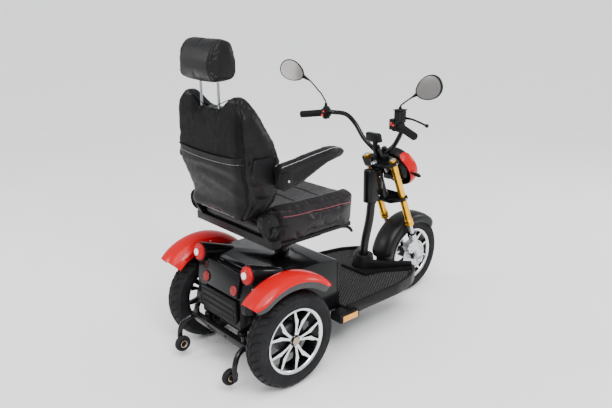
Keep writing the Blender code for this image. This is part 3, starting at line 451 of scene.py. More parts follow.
def settle(name, mesh, body, materials, angle=32.0, edge=0.0, stands_for=()):
    """Closes, rounds and shades a piece, and hangs it on its body."""
    looks = [face.material_index for face in mesh.polygons]
    mesh.materials.clear()
    for material in materials if isinstance(materials, (list, tuple)) else [materials]:
        mesh.materials.append(material)
    mesh.polygons.foreach_set("material_index", looks)
    bm = bmesh.new()
    bm.from_mesh(mesh)
    bmesh.ops.remove_doubles(bm, verts=bm.verts, dist=2e-6)
    bmesh.ops.dissolve_degenerate(bm, edges=bm.edges, dist=1e-6)
    bmesh.ops.recalc_face_normals(bm, faces=bm.faces)
    bm.to_mesh(mesh)
    bm.free()
    obj = link(name, mesh)
    if edge:
        rounded_edges(obj, edge)
    obj.data.shade_smooth()
    obj.data.set_sharp_from_angle(angle=math.radians(angle))
    if stands_for:
        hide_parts(*stands_for)
    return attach(obj, body)


def node_mesh(node, name):
    """A welded copy of a CAD node's mesh, its flat areas made one face each."""
    mesh = frame["nodes"][node].data.copy()
    mesh.name = name
    bm = bmesh.new()
    bm.from_mesh(mesh)
    bmesh.ops.remove_doubles(bm, verts=bm.verts, dist=1e-5)
    bmesh.ops.dissolve_limit(bm, angle_limit=math.radians(0.6), verts=bm.verts, edges=bm.edges)
    bm.to_mesh(mesh)
    bm.free()
    mesh.materials.clear()
    mesh.polygons.foreach_set("material_index", [0] * len(mesh.polygons))
    return mesh


def refined(node, materials, edge=0.002, angle=35.0):
    """A finer copy of a CAD node that stands for it: rounded edges and smooth shading."""
    body = frame["nodes"][node]["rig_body"]
    name = "fine_" + node
    return settle(name, node_mesh(node, name), body, materials, angle, edge, (node,))


# ---------------------------------------------------------------- wheels
TREAD_PITCHES = 34
REAR_TRACK = 0.289


def tyre(name, node, rim_node, body):
    """A tyre with a ribbed sidewall and shoulder blocks parted by slanting grooves."""
    centre = middle(node)
    low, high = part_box(node)
    outer = (high.z - low.z) / 2
    half = (high.x - low.x) / 2
    wall = [(0.1375, 0.028), (0.1390, 0.0385), (0.1440, 0.0405), (0.1470, 0.0412), (0.1480, 0.0425),
            (0.1500, 0.0425), (0.1515, half - 0.0012), (0.1600, half - 0.0003), (0.1690, half),
            (0.1780, half - 0.0008), (0.1800, half - 0.0002), (0.1822, half - 0.0016),
            (0.1875, half - 0.0046), (0.1925, half - 0.0086), (0.1965, half - 0.0132)]
    crown = []
    for step in range(11):
        across = (half - 0.0165) * (1.0 - step / 10.0)
        crown.append((outer - 0.0068 * (across / (half - 0.0165)) ** 2, across))
    right = [*wall, *crown]
    profile = [*right, *((radius, -across) for radius, across in reversed(right[:-1]))]
    seat_band = [(0.1375, -0.012), (0.1375, 0.012)]
    steps = TREAD_PITCHES * 9
    rings = []
    for step in range(steps):
        turn = step / steps * TREAD_PITCHES
        angle = math.tau * step / steps
        ring = []
        for radius, across in [*profile, *seat_band]:
            cut = 0.0
            reach = abs(across)
            if radius > 0.1870:
                lean = turn + 0.5 * (across > 0) - 16.0 * reach
                phase = lean % 1.0
                shoulder = phase < 0.24 and reach > 0.012
                middle_groove = abs(reach - 0.0085 - 0.0022 * math.sin(math.tau * turn)) < 0.0017
                cut = 0.0050 if shoulder or middle_groove else 0.0
                cut *= min(1.0, (radius - 0.1870) / 0.006)
            out = radius - cut
            ring.append(centre + Vector((across, out * math.cos(angle), out * math.sin(angle))))
        rings.append(ring)
    shape = Shape().add(skin(rings, loop=True))
    return shape.build(name, body, "tyre_rubber", RUBBER, 28.0, 0.0, (node,))


def polar(radius, degrees):
    angle = math.radians(degrees)
    return radius * math.cos(angle), radius * math.sin(angle)


def turned(profile, place, steps):
    """A profile turned about an axle along X, moved to its wheel."""
    return moved(lathe(profile, (0, 0, 0), AXLE, steps), place)


def spoke(base, side_sign, face, depth):
    """One arm of a split spoke in the wheel's own plane, bulging where it bends outward."""
    line = [(0.020, 9.0), (0.042, 10.0), (0.068, 10.8), (0.084, 12.0), (0.100, 15.5), (0.1275, 18.4)]
    widths = [0.0050, 0.0048, 0.0058, 0.0088, 0.0060, 0.0044]
    rings = []
    for (radius, degrees), width in zip(line, widths):
        y, z = polar(radius, base + degrees * side_sign)
        out = Vector((0.0, y, z)).normalized()
        across = Vector((1.0, 0.0, 0.0)).cross(out) * width
        crown = -0.004 * (1.0 - radius / 0.1275)
        middle_point = Vector((0.0, y, z))
        top = Vector((face + crown, 0.0, 0.0))
        low = Vector((face - depth, 0.0, 0.0))
        rings.append([middle_point - across + top, middle_point + across + top,
                      middle_point + across * 1.35 + low, middle_point - across * 1.35 + low])
    return rings


def alloy_wheel(name, node, body, side, face, steps=96):
    """Barrel, machined lip and ten arms in five pairs; silver faces on black flanks."""
    centre = middle(node)
    centre.x = round(centre.x, 3)
    across = math.copysign(REAR_TRACK, side) if abs(centre.x) > 0.1 else 0.0
    place = Matrix.Translation((across, centre.y, centre.z)) @ Matrix.Scale(side, 4, (1, 0, 0))
    shape = Shape()
    silver, black, bronze, steel = range(4)
    lip = [(0.1378, 0.0405), (0.1362, 0.0408), (0.1345, 0.0398), (0.1318, 0.0382), (0.1285, 0.0376),
           (0.1274, face + 0.0024), (0.1258, face + 0.0010), (0.1255, face - 0.003)]
    barrel = [(0.1255, face - 0.003), (0.1262, face - 0.010), (0.1262, 0.0), (0.1258, -0.032),
              (0.1330, -0.0400), (0.1378, -0.0405), (0.1378, 0.0405)]
    shape.add(turned(lip, place, steps), silver)
    shape.add(turned(barrel, place, steps), black)
    for pair in range(5):
        for arm in (1, -1):
            rings = spoke(pair * 72.0 + 108.0, arm, face, 0.018)
            points, faces = skin(rings)
            machined = [face for face in faces if {corner % 4 for corner in face} == {0, 1}]
            flanks = [face for face in faces if face not in machined]
            shape.add(moved((points, machined), place), silver)
            shape.add(moved((points, flanks), place), black)
    hub = [(0.0, face + 0.006), (0.0145, face + 0.006), (0.0165, face + 0.004), (0.0165, face - 0.001),
           (0.0240, face - 0.003), (0.0265, face - 0.006), (0.0275, face - 0.020), (0.0275, 0.0)]
    shape.add(turned(hub[2:], place, 40), black)
    shape.add(turned(hub[:4], place, 40), bronze)
    for bolt in range(5):
        y, z = polar(0.0210, bolt * 72.0 + 72.0)
        shape.add(moved(cap_screw((face - 0.0035, y, z), AXLE, 0.0030, 0.0035), place), steel)
    stem_y, stem_z = polar(0.1185, 200.0)
    shape.add(moved(rod((face - 0.012, stem_y, stem_z), (face + 0.006, stem_y * 0.96, stem_z * 0.96), 0.0028,
                        sides=10), place), black)
    return shape, place, centre


def wheels():
    for word, side in SIDES:
        body = "rear_wheel_" + word
        tyre("tyre_skin_rear_" + word, "tyre_rear_" + word, "rim_rear_" + word, body)
        shape, place, centre = alloy_wheel("alloy_rear_" + word, "rim_rear_" + word, body, side, 0.0335)
        # a closed drum-shaped disc inside the wheel; its dark iron is painted shade behind the spokes
        painted_shade_drum = [(0.0, -0.034), (0.060, -0.034), (0.066, -0.028), (0.066, 0.004), (0.060, 0.010), (0.0, 0.010)]
        shape.add(turned(painted_shade_drum, place, 48), 4)
        turned_silver = brushed("machined_" + word, (0.80, 0.81, 0.83), 0.24, centre)
        shape.build("alloy_rear_" + word, body, "alloy", [turned_silver, GLOSS, BRONZE, STEEL, IRON], 30.0,
                    0.0, ("rim_rear_" + word,))
    tyre("tyre_skin_front", "tyre_front", "rim_front", "front_wheel")
    shape, place, centre = alloy_wheel("alloy_front", "rim_front", "front_wheel", -1, 0.0335)
    disc = [(0.024, 0.0490), (0.079, 0.0490), (0.0800, 0.0496), (0.0800, 0.0514), (0.079, 0.0520),
            (0.024, 0.0520), (0.024, 0.0490)]
    shape.add(turned(disc, place, 64), 4)
    hub = [(0.0, -0.044), (0.026, -0.044), (0.030, -0.038), (0.030, 0.040), (0.022, 0.0525), (0.0, 0.0525)]
    shape.add(turned(hub, place, 36), 1)
    for hole in range(24):
        y, z = polar(0.060 + 0.008 * (hole % 3 - 1), hole * 15.0)
        spot = [(0.0, 0.0519), (0.0030, 0.0519), (0.0030, 0.0523), (0.0, 0.0523)]
        shape.add(moved(lathe(spot, (0, y, z), AXLE, 10), place), 1)
    turned_silver = brushed("machined_front", (0.82, 0.82, 0.83), 0.26, centre)
    shape.build("alloy_front", "front_wheel", "alloy", [turned_silver, GLOSS, BRONZE, STEEL, STEEL], 30.0,
                0.0, ("rim_front",))
    for word, side in SIDES:
        centre = middle("anti_tip_wheel_" + word)
        half = 0.0128
        rubber = [(0.0200, half * 0.7), (0.0250, half), (0.0300, half), (0.0335, half * 0.72),
                  (0.0350, half * 0.35), (0.0350, -half * 0.35), (0.0335, -half * 0.72), (0.0300, -half),
                  (0.0250, -half), (0.0200, -half * 0.7), (0.0200, half * 0.7)]
        hub = [(0.0, half), (0.0070, half), (0.0080, half * 0.8), (0.0080, half * 0.45),
               (0.0145, half * 0.45), (0.0205, half * 0.75),
               (0.0205, -half * 0.75), (0.0145, -half * 0.45), (0.0080, -half * 0.45),
               (0.0080, -half * 0.8), (0.0070, -half), (0.0, -half)]
        shape = Shape().add(lathe(rubber, centre, AXLE, 48), 0)
        shape.add(lathe(hub, centre, AXLE, 36), 1)
        ring = [(0.0110, half * 0.5), (0.0150, half * 0.62), (0.0165, half * 0.98), (0.0135, half * 1.0),
                (0.0110, half * 0.7), (0.0110, half * 0.5)]
        for end in (1, -1):
            shape.add(lathe([(radius, along * end) for radius, along in ring], centre, AXLE, 36), 2)
        shape.build("caster_" + word, "caster_" + word, "black_matte", [RUBBER, SATIN, BRONZE], 30.0, 0.0,
                    ("anti_tip_wheel_" + word,))


# ---------------------------------------------------------------- chassis
def rear_fender(word, side):
    """Glossy arched mudguard: a top face, a turned-down side face and a dark lining."""
    centre = Vector((0.0, 0.515, 0.215))
    start, end, steps = 46.0, 137.0, 40
    top = [(0.2255, 0.2330), (0.2330, 0.2480), (0.2480, 0.2640), (0.2650, 0.2735), (0.2900, 0.2785),
           (0.3150, 0.2785), (0.3330, 0.2765), (0.3440, 0.2710), (0.3530, 0.2640), (0.3598, 0.2575),
           (0.3610, 0.2545)]
    rows = {"red": [], "lining": []}
    for step in range(steps + 1):
        share = step / steps
        angle = math.radians(start + (end - start) * share)
        near_end = min(share, 1.0 - share)
        fade = min(1.0, near_end / 0.12)
        taper = 1.0 - (1.0 - fade) ** 2
        pull = 0.018 * (1.0 - taper)
        skins = {}
        for name, outline, thick in (("red", top, 0.0032), ("lining", None, 0.003)):
            if outline is None:
                low_edge = 0.2540 + (1.0 - taper) * 0.004
                outline = [(0.3560, low_edge + 0.001), (0.3555, low_edge - 0.012),
                           (0.3520, low_edge - 0.0270)]
            ring = []
            for across, radius in outline:
                reach = max(0.0, (across - 0.300) / 0.060)
                ring.append((across - pull * reach, radius + (0.012 * (1.0 - taper)) * reach ** 2
                             - 0.002 * (1.0 - taper)))
            inner = [(across - thick * 0.5, radius - thick) for across, radius in reversed(ring)]
            turn, lift = math.cos(angle), math.sin(angle)
            skins[name] = [centre + Vector((across * side, radius * turn, radius * lift))
                           for across, radius in [*ring, *inner]]
        for name in rows:
            rows[name].append(skins[name])
    shape = Shape().add(skin(rows["red"]), 0).add(skin(rows["lining"]), 1)
    for degrees in (62.0, 92.0, 122.0):
        angle = math.radians(degrees)
        out = Vector((0.0, math.cos(angle), math.sin(angle)))
        shape.add(cap_screw(centre + Vector((0.2400 * side, 0, 0)) + out * 0.2545, out, 0.0045, 0.0035), 2)
    shape.build("fender_skin_" + word, "chassis", "red_gloss", [RED, LINER, STEEL], 34.0, 0.0,
                ("fender_" + word,))


def lamp(word, side):
    """Round rear lamp: black bezel, faceted red lens and a clear dome in the middle."""
    aim = Vector((0.0, 0.986, 0.166)).normalized()
    node_low, node_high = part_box("tail_lamp_" + word)
    centre = Vector(((node_low.x + node_high.x) / 2, 0.600, 0.467))
    bezel = [(0.0340, 0.0005), (0.0415, 0.0005), (0.0418, 0.004), (0.0405, 0.0075), (0.0385, 0.0082),
             (0.0370, 0.0070), (0.0340, 0.0040), (0.0340, 0.0005)]
    lens = [(0.0, 0.0008), (0.0372, 0.0008), (0.0372, 0.0085), (0.0362, 0.0130), (0.0345, 0.0150),
            (0.0325, 0.0152), (0.0310, 0.0168), (0.0285, 0.0190), (0.0255, 0.0200), (0.0235, 0.0218),
            (0.0200, 0.0236), (0.0168, 0.0245), (0.0, 0.0245)]
    clear = [(0.0, 0.0240), (0.0150, 0.0240), (0.0150, 0.0262), (0.0140, 0.0276), (0.0110, 0.0288),
             (0.0060, 0.0296), (0.0, 0.0298)]
    shape = Shape().add(lathe(bezel, centre, aim, 48), 0).add(lathe(lens, centre, aim, 48), 1)
    shape.add(lathe(clear, centre, aim, 36), 2)
    shape.build("lamp_" + word, "chassis", "red_lens", [GLOSS, LENS, WHITE_LENS], 25.0, 0.0,
                ("tail_lamp_" + word,))


def on_surface(tree, points, lift=0.0):
    """The points moved to the nearest place on a mesh, and lifted off it."""
    made = []
    for point in points:
        place, normal, _, _ = tree.find_nearest(Vector(point))
        made.append(place + normal * lift)
    return made


def tree_of(*objects):
    bpy.context.view_layer.update()
    points, faces = [], []
    for obj in objects:
        start = len(points)
        points += [vert.co.copy() for vert in obj.data.vertices]
        faces += [[start + index for index in face.vertices] for face in obj.data.polygons]
    return BVHTree.FromPolygons(points, faces)


def rear_body():
    shell = refined("body_shell", GLOSS, 0.0035)
    panel = refined("rear_panel", GLOSS, 0.0025)
    refined("lower_panel", SATIN, 0.002)
    tree = tree_of(panel, shell)
    for word, side in SIDES:
        place, normal, _, _ = tree.ray_cast(Vector((0.098 * side, 0.80, 0.384)), FORWARD)
        disc = [(0.0, -0.001), (0.0215, -0.001), (0.0215, 0.0030), (0.0195, 0.0055), (0.0120, 0.0075),
                (0.0, 0.0080)]
        shape = Shape().add(lathe(disc, place, normal, 32), 0)
        ring = [(0.0210, -0.001), (0.0240, -0.001), (0.0240, 0.0022), (0.0222, 0.0034), (0.0210, 0.0022),
                (0.0210, -0.001)]
        shape.add(lathe(ring, place, normal, 32), 1)
        shape.build("reflector_" + word, "chassis", "red_lens", [DARK_LENS, GLOSS], 30.0)
        lamp(word, side)
        rear_fender(word, side)
    seams = Shape()
    for side in (1, -1):
        line = [(0.2235 * side, 0.172, 0.228), (0.2235 * side, 0.172, 0.420)]
        path = on_surface(tree, line, 0.0002)
        seams.add(sweep(path, 0.0016, 8))
    for x, z in ((0.104, 0.440), (-0.104, 0.440), (0.104, 0.405), (-0.104, 0.405)):
        place, normal, _, _ = tree.ray_cast(Vector((x, 0.80, z)), FORWARD)
        seams.add(cap_screw(place - normal * 0.0006, normal, 0.0038, 0.0024))
    seams.build("body_fixings", "chassis", "black_matte", SATIN)


def lower_frame():
    for node in ("rail_left", "rail_right", "floor_pan"):
        refined(node, PAINT, 0.0015)
    refined("seat_tower", PAINT, 0.002)
    refined("battery_pack", SATIN, 0.003)
    refined("transaxle", IRON, 0.0015)
    bar = Shape().add(box((-0.205, 0.6220, 0.160), (0.205, 0.6525, 0.1900)))
    bar.build("rear_bar", "chassis", "black_frame", [PAINT], 32.0, 0.0035, ("anti_tip_frame",))
    tubes = Shape()
    for side in (1, -1):
        arm_x = 0.203 * side
        path = smooth_path([(arm_x - 0.012 * side, 0.640, 0.175), (arm_x - 0.011 * side, 0.664, 0.171),
                            (arm_x - 0.006 * side, 0.689, 0.157), (arm_x - 0.001 * side, 0.705, 0.130),
                            (arm_x, 0.711, 0.100), (arm_x, CASTER_Y, CASTER_Z)], 6)
        tubes.add(sweep(path, [0.0112] * (len(path) - 4) + [0.0104, 0.0096, 0.0086, 0.0080], 16), 0)
        boss_outer = (arm_x + 0.0075 * side, CASTER_Y, CASTER_Z)
        tubes.add(rod(boss_outer, (0.1912 * side, CASTER_Y, CASTER_Z), 0.0125, sides=24), 0)
        tubes.add(cap_screw((arm_x + 0.0072 * side, CASTER_Y, CASTER_Z), (side, 0, 0), 0.0060, 0.0035), 0)
        tubes.add(rod((0.170 * side, 0.637, 0.180), (0.170 * side, 0.637, 0.216), 0.0110, sides=16), 0)
    for x in (0.062, -0.062):
        tubes.add(cap_screw((x, 0.6524, 0.175), (0, 1, 0), 0.0055, 0.0035), 0)
    tubes.build("anti_tip_arms", "chassis", "black_frame", [PAINT, STEEL], 32.0)


def foot_tray():
    refined("foot_deck", SATIN, 0.0035)
    mat = refined("foot_mat", MAT, 0.0010)
    boot = refined("column_boot", SATIN, 0.0030)
    tree = tree_of(mat)
    low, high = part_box("foot_mat")
    top = high.z
    studs = Shape()
    pitch_x, pitch_y = 0.0135, 0.0100
    rows = int((high.y - low.y) / pitch_y)
    columns = int((high.x - low.x) / pitch_x)
    boot_tree = tree_of(boot)
    for row in range(1, rows):
        for column in range(1, columns):
            x = low.x + pitch_x * (column + 0.5 * (row % 2))
            y = low.y + pitch_y * row
            hit = tree.ray_cast(Vector((x, y, top + 0.05)), DOWN)
            clear = all(tree.ray_cast(Vector((x + dx, y + dy, top + 0.05)), DOWN)[0]
                        for dx, dy in ((0.008, 0), (-0.008, 0), (0, 0.007), (0, -0.007)))
            covered = boot_tree.ray_cast(Vector((x, y, top + 0.30)), DOWN)[0]
            if hit[0] is None or not clear or covered is not None or hit[0].z < top - 0.001:
                continue
            long, short = (0.0046, 0.0020) if (row + column) % 2 else (0.0038, 0.0026)
            base = [(x - long, y - short, top), (x + long, y - short, top), (x + long, y + short, top),
                    (x - long, y + short, top)]
            crown = [(x + (px - x) * 0.66, y + (py - y) * 0.66, top + 0.0016) for px, py, _ in base]
            studs.add(skin([base, crown]))
    # the studs wear the lighter grey, a painted highlight on each bump
    studs.build("mat_studs", "chassis", "mat_rubber", STUD_PAINTED_HIGHLIGHT, 50.0)
    for word, side in SIDES:
        low_x, high_x = sorted((0.290 * side, 0.2995 * side))
        marker = Shape().add(box((low_x, 0.120, 0.1735), (high_x, 0.208, 0.2000)))
        marker.build("amber_marker_" + word, "chassis", "black_matte", AMBER, 30.0, 0.0015)
    rim = Shape()
    centre = Vector((0.0, -0.221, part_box("column_boot")[1].z))
    collar = [(0.0250, -0.004), (0.0360, -0.0015), (0.0405, 0.0012), (0.0440, 0.0002), (0.0465, -0.0030),
              (0.0455, -0.0070), (0.0250, -0.0070), (0.0250, -0.004)]
    rim.add(lathe(collar, centre, UP, 48))
    rim.build("boot_collar", "chassis", "black_matte", SATIN)


def column():
    route = smooth_path([(0, -0.221, 0.176), (0, -0.221, 0.230), (0, -0.221, 0.290), (0, -0.232, 0.360),
                         (0, -0.256, 0.450), (0, -0.268, 0.5405)], 8)
    Shape().add(sweep(route, 0.0205, 32)).build("column_tube", "chassis", "black_frame", PAINT, 40.0, 0.0,
                                                ("steering_column",))
    neck()
    trim = Shape()
    centre = Vector((0.0, -0.2490, 0.7005))
    trim.add(lathe([(0.0, -0.002), (0.0250, -0.002), (0.0262, 0.001), (0.0262, 0.0035), (0.0245, 0.0060),
                    (0.0180, 0.0078), (0.0, 0.0084)], centre, UP, 40), 0)
    trim.add(lathe([(0.0212, -0.003), (0.0250, -0.003), (0.0250, 0.003), (0.0212, 0.003), (0.0212, -0.003)],
                   (0.0, -0.268, 0.5425), (0, -0.12, 1), 40), 0)
    for side in (1, -1):
        for z in (0.575, 0.668):
            trim.add(cap_screw((0.0274 * side, -0.292, z), (side, 0, 0), 0.0036, 0.0022), 1)
    trim.build("neck_trim", "chassis", "black_gloss", [GLOSS, STEEL])


def neck():
    """The upper shroud: a column with a round back, and the head tube between the clamps."""
    rear = [(0.0275 * math.cos(math.radians(degrees)), -0.2490 + 0.0275 * math.sin(math.radians(degrees)))
            for degrees in range(0, 181, 12)]
    outline = [*rear, (-0.0275, -0.306), (-0.0215, -0.325), (0.0215, -0.325), (0.0275, -0.306)]
    box_part = Shape().add(extruded(outline, 0.5460, 0.7010))
    box_part.build("neck_shroud", "chassis", "black_gloss", GLOSS, 32.0, 0.0035, ("steering_neck",))
    head_part = Shape()
    profile = [(0.0160, 0.3895), (0.0225, 0.3895), (0.0232, 0.3925), (0.0232, 0.4020), (0.0205, 0.4050),
               (0.0205, 0.5560), (0.0232, 0.5590), (0.0232, 0.5690), (0.0225, 0.5725), (0.0160, 0.5725),
               (0.0160, 0.3895)]
    head_part.add(lathe(profile, fork_point(0, 0.038, 0), FORK_UP, 36))
    low = fork_point(0, 0.050, 0.430)
    high = fork_point(0, 0.050, 0.545)
    web = [(low.y, low.z), (-0.318, 0.560), (-0.318, 0.690), (high.y, high.z)]
    head_part.add(extruded(web, -0.013, 0.013, "YZ"))
    head_part.build("head_tube", "chassis", "black_gloss", PAINT, 36.0, 0.0012)


# ---------------------------------------------------------------- fork and bars
def fork():
    for word, side in SIDES:
        tube_profile = [(0.0, 0.5995), (0.0120, 0.5995), (0.0168, 0.5975), (0.0172, 0.590), (0.0172, 0.380),
                        (0.0172, 0.2520), (0.0180, 0.2500), (0.0180, 0.2460), (0.0200, 0.2440),
                        (0.0207, 0.2410), (0.0207, 0.2300), (0.0198, 0.2285), (0.0198, 0.2245),
                        (0.0207, 0.2230), (0.0207, 0.2125), (0.0195, 0.2105), (0.0126, 0.2105),
                        (0.0126, 0.225)]
        origin = fork_point(FORK_X * side, 0, 0)
        shape = Shape().add(lathe(tube_profile, origin, FORK_UP, 40), 0)
        cap = [(0.0, 0.5990), (0.0120, 0.5990), (0.0120, 0.6010), (0.0105, 0.6022), (0.0060, 0.6022),
               (0.0055, 0.6008), (0.0, 0.6008)]
        shape.add(lathe(cap, origin, FORK_UP, 6), 1)
        shape.build("gold_tube_" + word, "steering", "fork_gold", [GOLD, STEEL], 28.0, 0.0,
                    ("fork_tube_" + word,))
        lower = Shape()
        slider = [(0.0, 0.470), (0.0112, 0.470), (0.0112, 0.152), (0.0150, 0.149), (0.0168, 0.143),
                  (0.0168, 0.128), (0.0158, 0.124), (0.0156, 0.060), (0.0168, 0.050), (0.0172, 0.020),
                  (0.0172, -0.006), (0.0150, -0.026), (0.0110, -0.031), (0.0, -0.031)]
        lower.add(lathe(slider, origin, FORK_UP, 36), 0)
        seal = [(0.0112, 0.158), (0.0140, 0.1575), (0.0150, 0.152), (0.0150, 0.1485), (0.0112, 0.1485),
                (0.0112, 0.158)]
        lower.add(lathe(seal, origin, FORK_UP, 36), 1)
        boss_in = fork_point(0.0665 * side, 0, 0)
        boss_out = fork_point(0.1020 * side, 0, 0)
        lower.add(rod(boss_in, boss_out, 0.0155, 0.0150, 32), 0)
        nut = [(0.0, 0.0), (0.0095, 0.0), (0.0095, 0.0045), (0.0078, 0.0055), (0.0, 0.0055)]
        lower.add(lathe(nut, boss_out, (side, 0, 0), 6), 2)
        if side > 0:
            lower.add(rod(fork_point(-0.0655, 0, 0), fork_point(0.080, 0, 0), 0.0080, sides=24), 2)
        else:
            caliper = [(0.008, 0.060), (0.046, 0.060), (0.062, 0.076), (0.062, 0.106), (0.048, 0.118),
                       (0.008, 0.114)]
            lower.add(moved(extruded(caliper, -0.094, -0.0570, "YZ"), FORK), 0)
            for back, rise in ((0.040, 0.076), (0.040, 0.103)):
                lower.add(cap_screw(fork_point(-0.0940, back, rise), (-1, 0, 0), 0.0062, 0.0040), 2)
                lower.add(lathe([(0.0, 0.0), (0.0105, 0.0), (0.0105, 0.0018), (0.0, 0.0018)],
                                fork_point(-0.0940, back, rise), (-1, 0, 0), 24), 0)
            lower.add(rod(fork_point(-0.083, 0.010, 0.045), fork_point(-0.083, 0.030, 0.066), 0.0065,
                          sides=12), 0)
        lower.build("slider_" + word, "fork_lower", "fork_silver", [CAST, RUBBER, STEEL], 30.0, 0.0,
                    ("fork_leg_" + word,))
    refined("lower_clamp", GLOSS, 0.0022)
    refined("upper_clamp", GLOSS, 0.0022)
    fixings = Shape()
    for side in (1, -1):
        fixings.add(cap_screw(fork_point(0.022 * side, -0.028, 0.645), FORK_UP, 0.0040, 0.0035))
        fixings.add(cap_screw(fork_point(0.022 * side, -0.004, 0.645), FORK_UP, 0.0040, 0.0035))
        for level in (0.379, 0.582):
            fixings.add(cap_screw(fork_point(0.1079 * side, 0.004, level), (side, 0, 0), 0.0042, 0.0035))
    fixings.add(lathe([(0.0, 0.0), (0.0150, 0.0), (0.0150, 0.0060), (0.0125, 0.0080), (0.0, 0.0080)],
                      fork_point(0, 0.038, 0.589), FORK_UP, 6))
    fixings.build("clamp_bolts", "steering", "chrome_rod", STEEL)


def front_fender():
    """The wide mudguard: a deep smooth channel with a rolled edge."""
    steps = 56
    outline = [(-0.0600, 0.1800), (-0.0612, 0.1860), (-0.0600, 0.2000), (-0.0550, 0.2115), (-0.0440, 0.2195),
               (-0.0250, 0.2238), (0.0, 0.2250), (0.0250, 0.2238), (0.0440, 0.2195), (0.0550, 0.2115),
               (0.0600, 0.2000), (0.0612, 0.1860), (0.0600, 0.1800)]
    rings = []
    for step in range(steps + 1):
        share = step / steps
        angle = math.radians(8.0 + 130.0 * share)
        close = min(share, 1.0 - share) / 0.07
        ease = min(1.0, close)
        narrow = 1.0 - 0.12 * (1.0 - ease) ** 2
        ring = []
        for across, radius in outline:
            drop = 0.010 * (1.0 - ease) ** 2
            ring.append((across * narrow, radius - drop * abs(across) / 0.06))
        inner = [(across * 0.955, radius - 0.003) for across, radius in reversed(ring)]
        rings.append([FRONT_AXLE + Vector((across, radius * math.cos(angle), radius * math.sin(angle)))
                      for across, radius in [*ring, *inner]])
    shape = Shape().add(skin(rings), 0)
    for side in (1, -1):
        plate = sorted((0.0592 * side, 0.0616 * side))
        foot = sorted((0.0592 * side, 0.0720 * side))
        shape.add(moved(box((plate[0], -0.012, 0.126), (plate[1], 0.012, 0.200)), FORK), 0)
        shape.add(moved(box((foot[0], -0.009, 0.126), (foot[1], 0.009, 0.146)), FORK), 0)
    shape.build("front_mudguard", "fork_lower", "black_matte", FENDER, 36.0, 0.0, ("front_fender",))


def bars():
    centre = fork_point(0, -0.016, 0.627)
    grip = GRIP_END - GRIP_IN
    half = [centre + Vector((0.045, 0, 0)), Vector((0.100, -0.309, 0.836)), Vector((0.148, -0.296, 0.904)),
            Vector((0.178, -0.262, 0.948)), GRIP_IN - grip * 0.37]
    left = [centre, *smooth_path(half, 8), GRIP_IN + grip * 0.92]
    points = [sided(point, -1) for point in reversed(left)] + left[1:]
    Shape().add(sweep(points, 0.0111, 24)).build("bar_tube", "steering", "black_frame", PAINT, 50.0, 0.0,
                                                 ("handlebar",))
    length = (GRIP_END - GRIP_IN).length
    for word, side in SIDES:
        origin = grip_point(side, 0.003)
        ahead = grip_point(side, length) - grip_point(side, 0.0)
        profile = [(0.0125, 0.0), (0.0195, 0.0), (0.0200, 0.0015), (0.0200, 0.0040), (0.0165, 0.0056)]
        reach = length - 0.014
        ribs = 17
        for rib in range(ribs):
            start = 0.007 + (reach - 0.009) * rib / ribs
            step = (reach - 0.009) / ribs
            profile += [(0.0158, start), (0.0168, start + step * 0.2), (0.0168, start + step * 0.75),
                        (0.0158, start + step * 0.95)]
        profile += [(0.0163, reach), (0.0168, length - 0.009), (0.0158, length - 0.0045),
                    (0.0110, length - 0.0032), (0.0, length - 0.003)]
        shape = Shape().add(lathe(profile, origin, ahead, 36), 0)
        shape.build("grip_skin_" + word, "steering" if side > 0 else "throttle", "grip_rubber", GRIP, 30.0,
                    0.0, ("grip_" + word,))
        refined("switch_pod_" + word, SATIN, 0.0016)
    extras = Shape()
    dark, red, steel = range(3)
    left_pod = grip_point(1, -0.016)
    right_pod = grip_point(-1, -0.016)
    switch = left_pod + Vector((-0.008, 0.0195, 0.004))
    extras.add(box(switch, left_pod + Vector((0.003, 0.0235, 0.012))), red)
    switch = left_pod + Vector((-0.009, 0.0195, 0.015))
    extras.add(box(switch, left_pod + Vector((0.003, 0.0225, 0.021))), dark)
    extras.add(dome(right_pod + Vector((0.004, 0.0318, 0.006)), (0, 1, 0), 0.0055, 0.004), red)
    switch = right_pod + Vector((-0.002, 0.0315, -0.014))
    extras.add(box(switch, right_pod + Vector((0.010, 0.0345, -0.004))), dark)
    cap_low = right_pod + Vector((-0.0145, -0.0355, 0.0655))
    extras.add(box(cap_low, right_pod + Vector((0.0255, 0.0115, 0.0705))), dark)
    for dx, dy in ((-0.009, 0.006), (0.020, -0.030)):
        extras.add(cap_screw(right_pod + Vector((dx, dy, 0.0704)), UP, 0.0026, 0.0012), steel)
    collar = [(0.0120, -0.0130), (0.0235, -0.0130), (0.0262, -0.0100), (0.0262, 0.0040), (0.0235, 0.0070),
              (0.0120, 0.0070), (0.0120, -0.0130)]
    grip_way = grip_point(-1, 1.0) - grip_point(-1, 0.0)
    extras.add(lathe(collar, grip_point(-1, -0.012), grip_way, 32), dark)
    extras.add(lathe([(0.0125, 0.0), (0.0192, 0.0), (0.0192, 0.0024), (0.0125, 0.0024), (0.0125, 0.0)],
                     grip_point(-1, -0.0042), grip_way, 32), steel)
    inner = grip_point(-1, -0.048)
    extras.add(box(inner + Vector((-0.012, -0.016, -0.024)), inner + Vector((0.014, 0.026, 0.022))), dark)
    extras.add(box(inner + Vector((-0.006, 0.0255, -0.004)), inner + Vector((0.006, 0.0300, 0.010))), red)
    extras.build("switches", "steering", "red_gloss", [SATIN, RED_PLASTIC, STEEL], 30.0, 0.0008)
    shape = Shape()
    horn_low, horn_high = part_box("horn_button")
    horn = (horn_low + horn_high) / 2
    radius = (horn_high.x - horn_low.x) / 2
    shape.add(lathe([(0.0, -0.003), (radius, -0.003), (radius, 0.001), (radius * 0.8, 0.0028), (0.0, 0.0032)],
                    horn, (0, 1, 0), 24))
    shape.build("horn_cap", "horn", "red_gloss", RED_PLASTIC, 30.0, 0.0, ("horn_button",))
    lever()
    for word, side in SIDES:
        mirror(word, side)
    instrument()


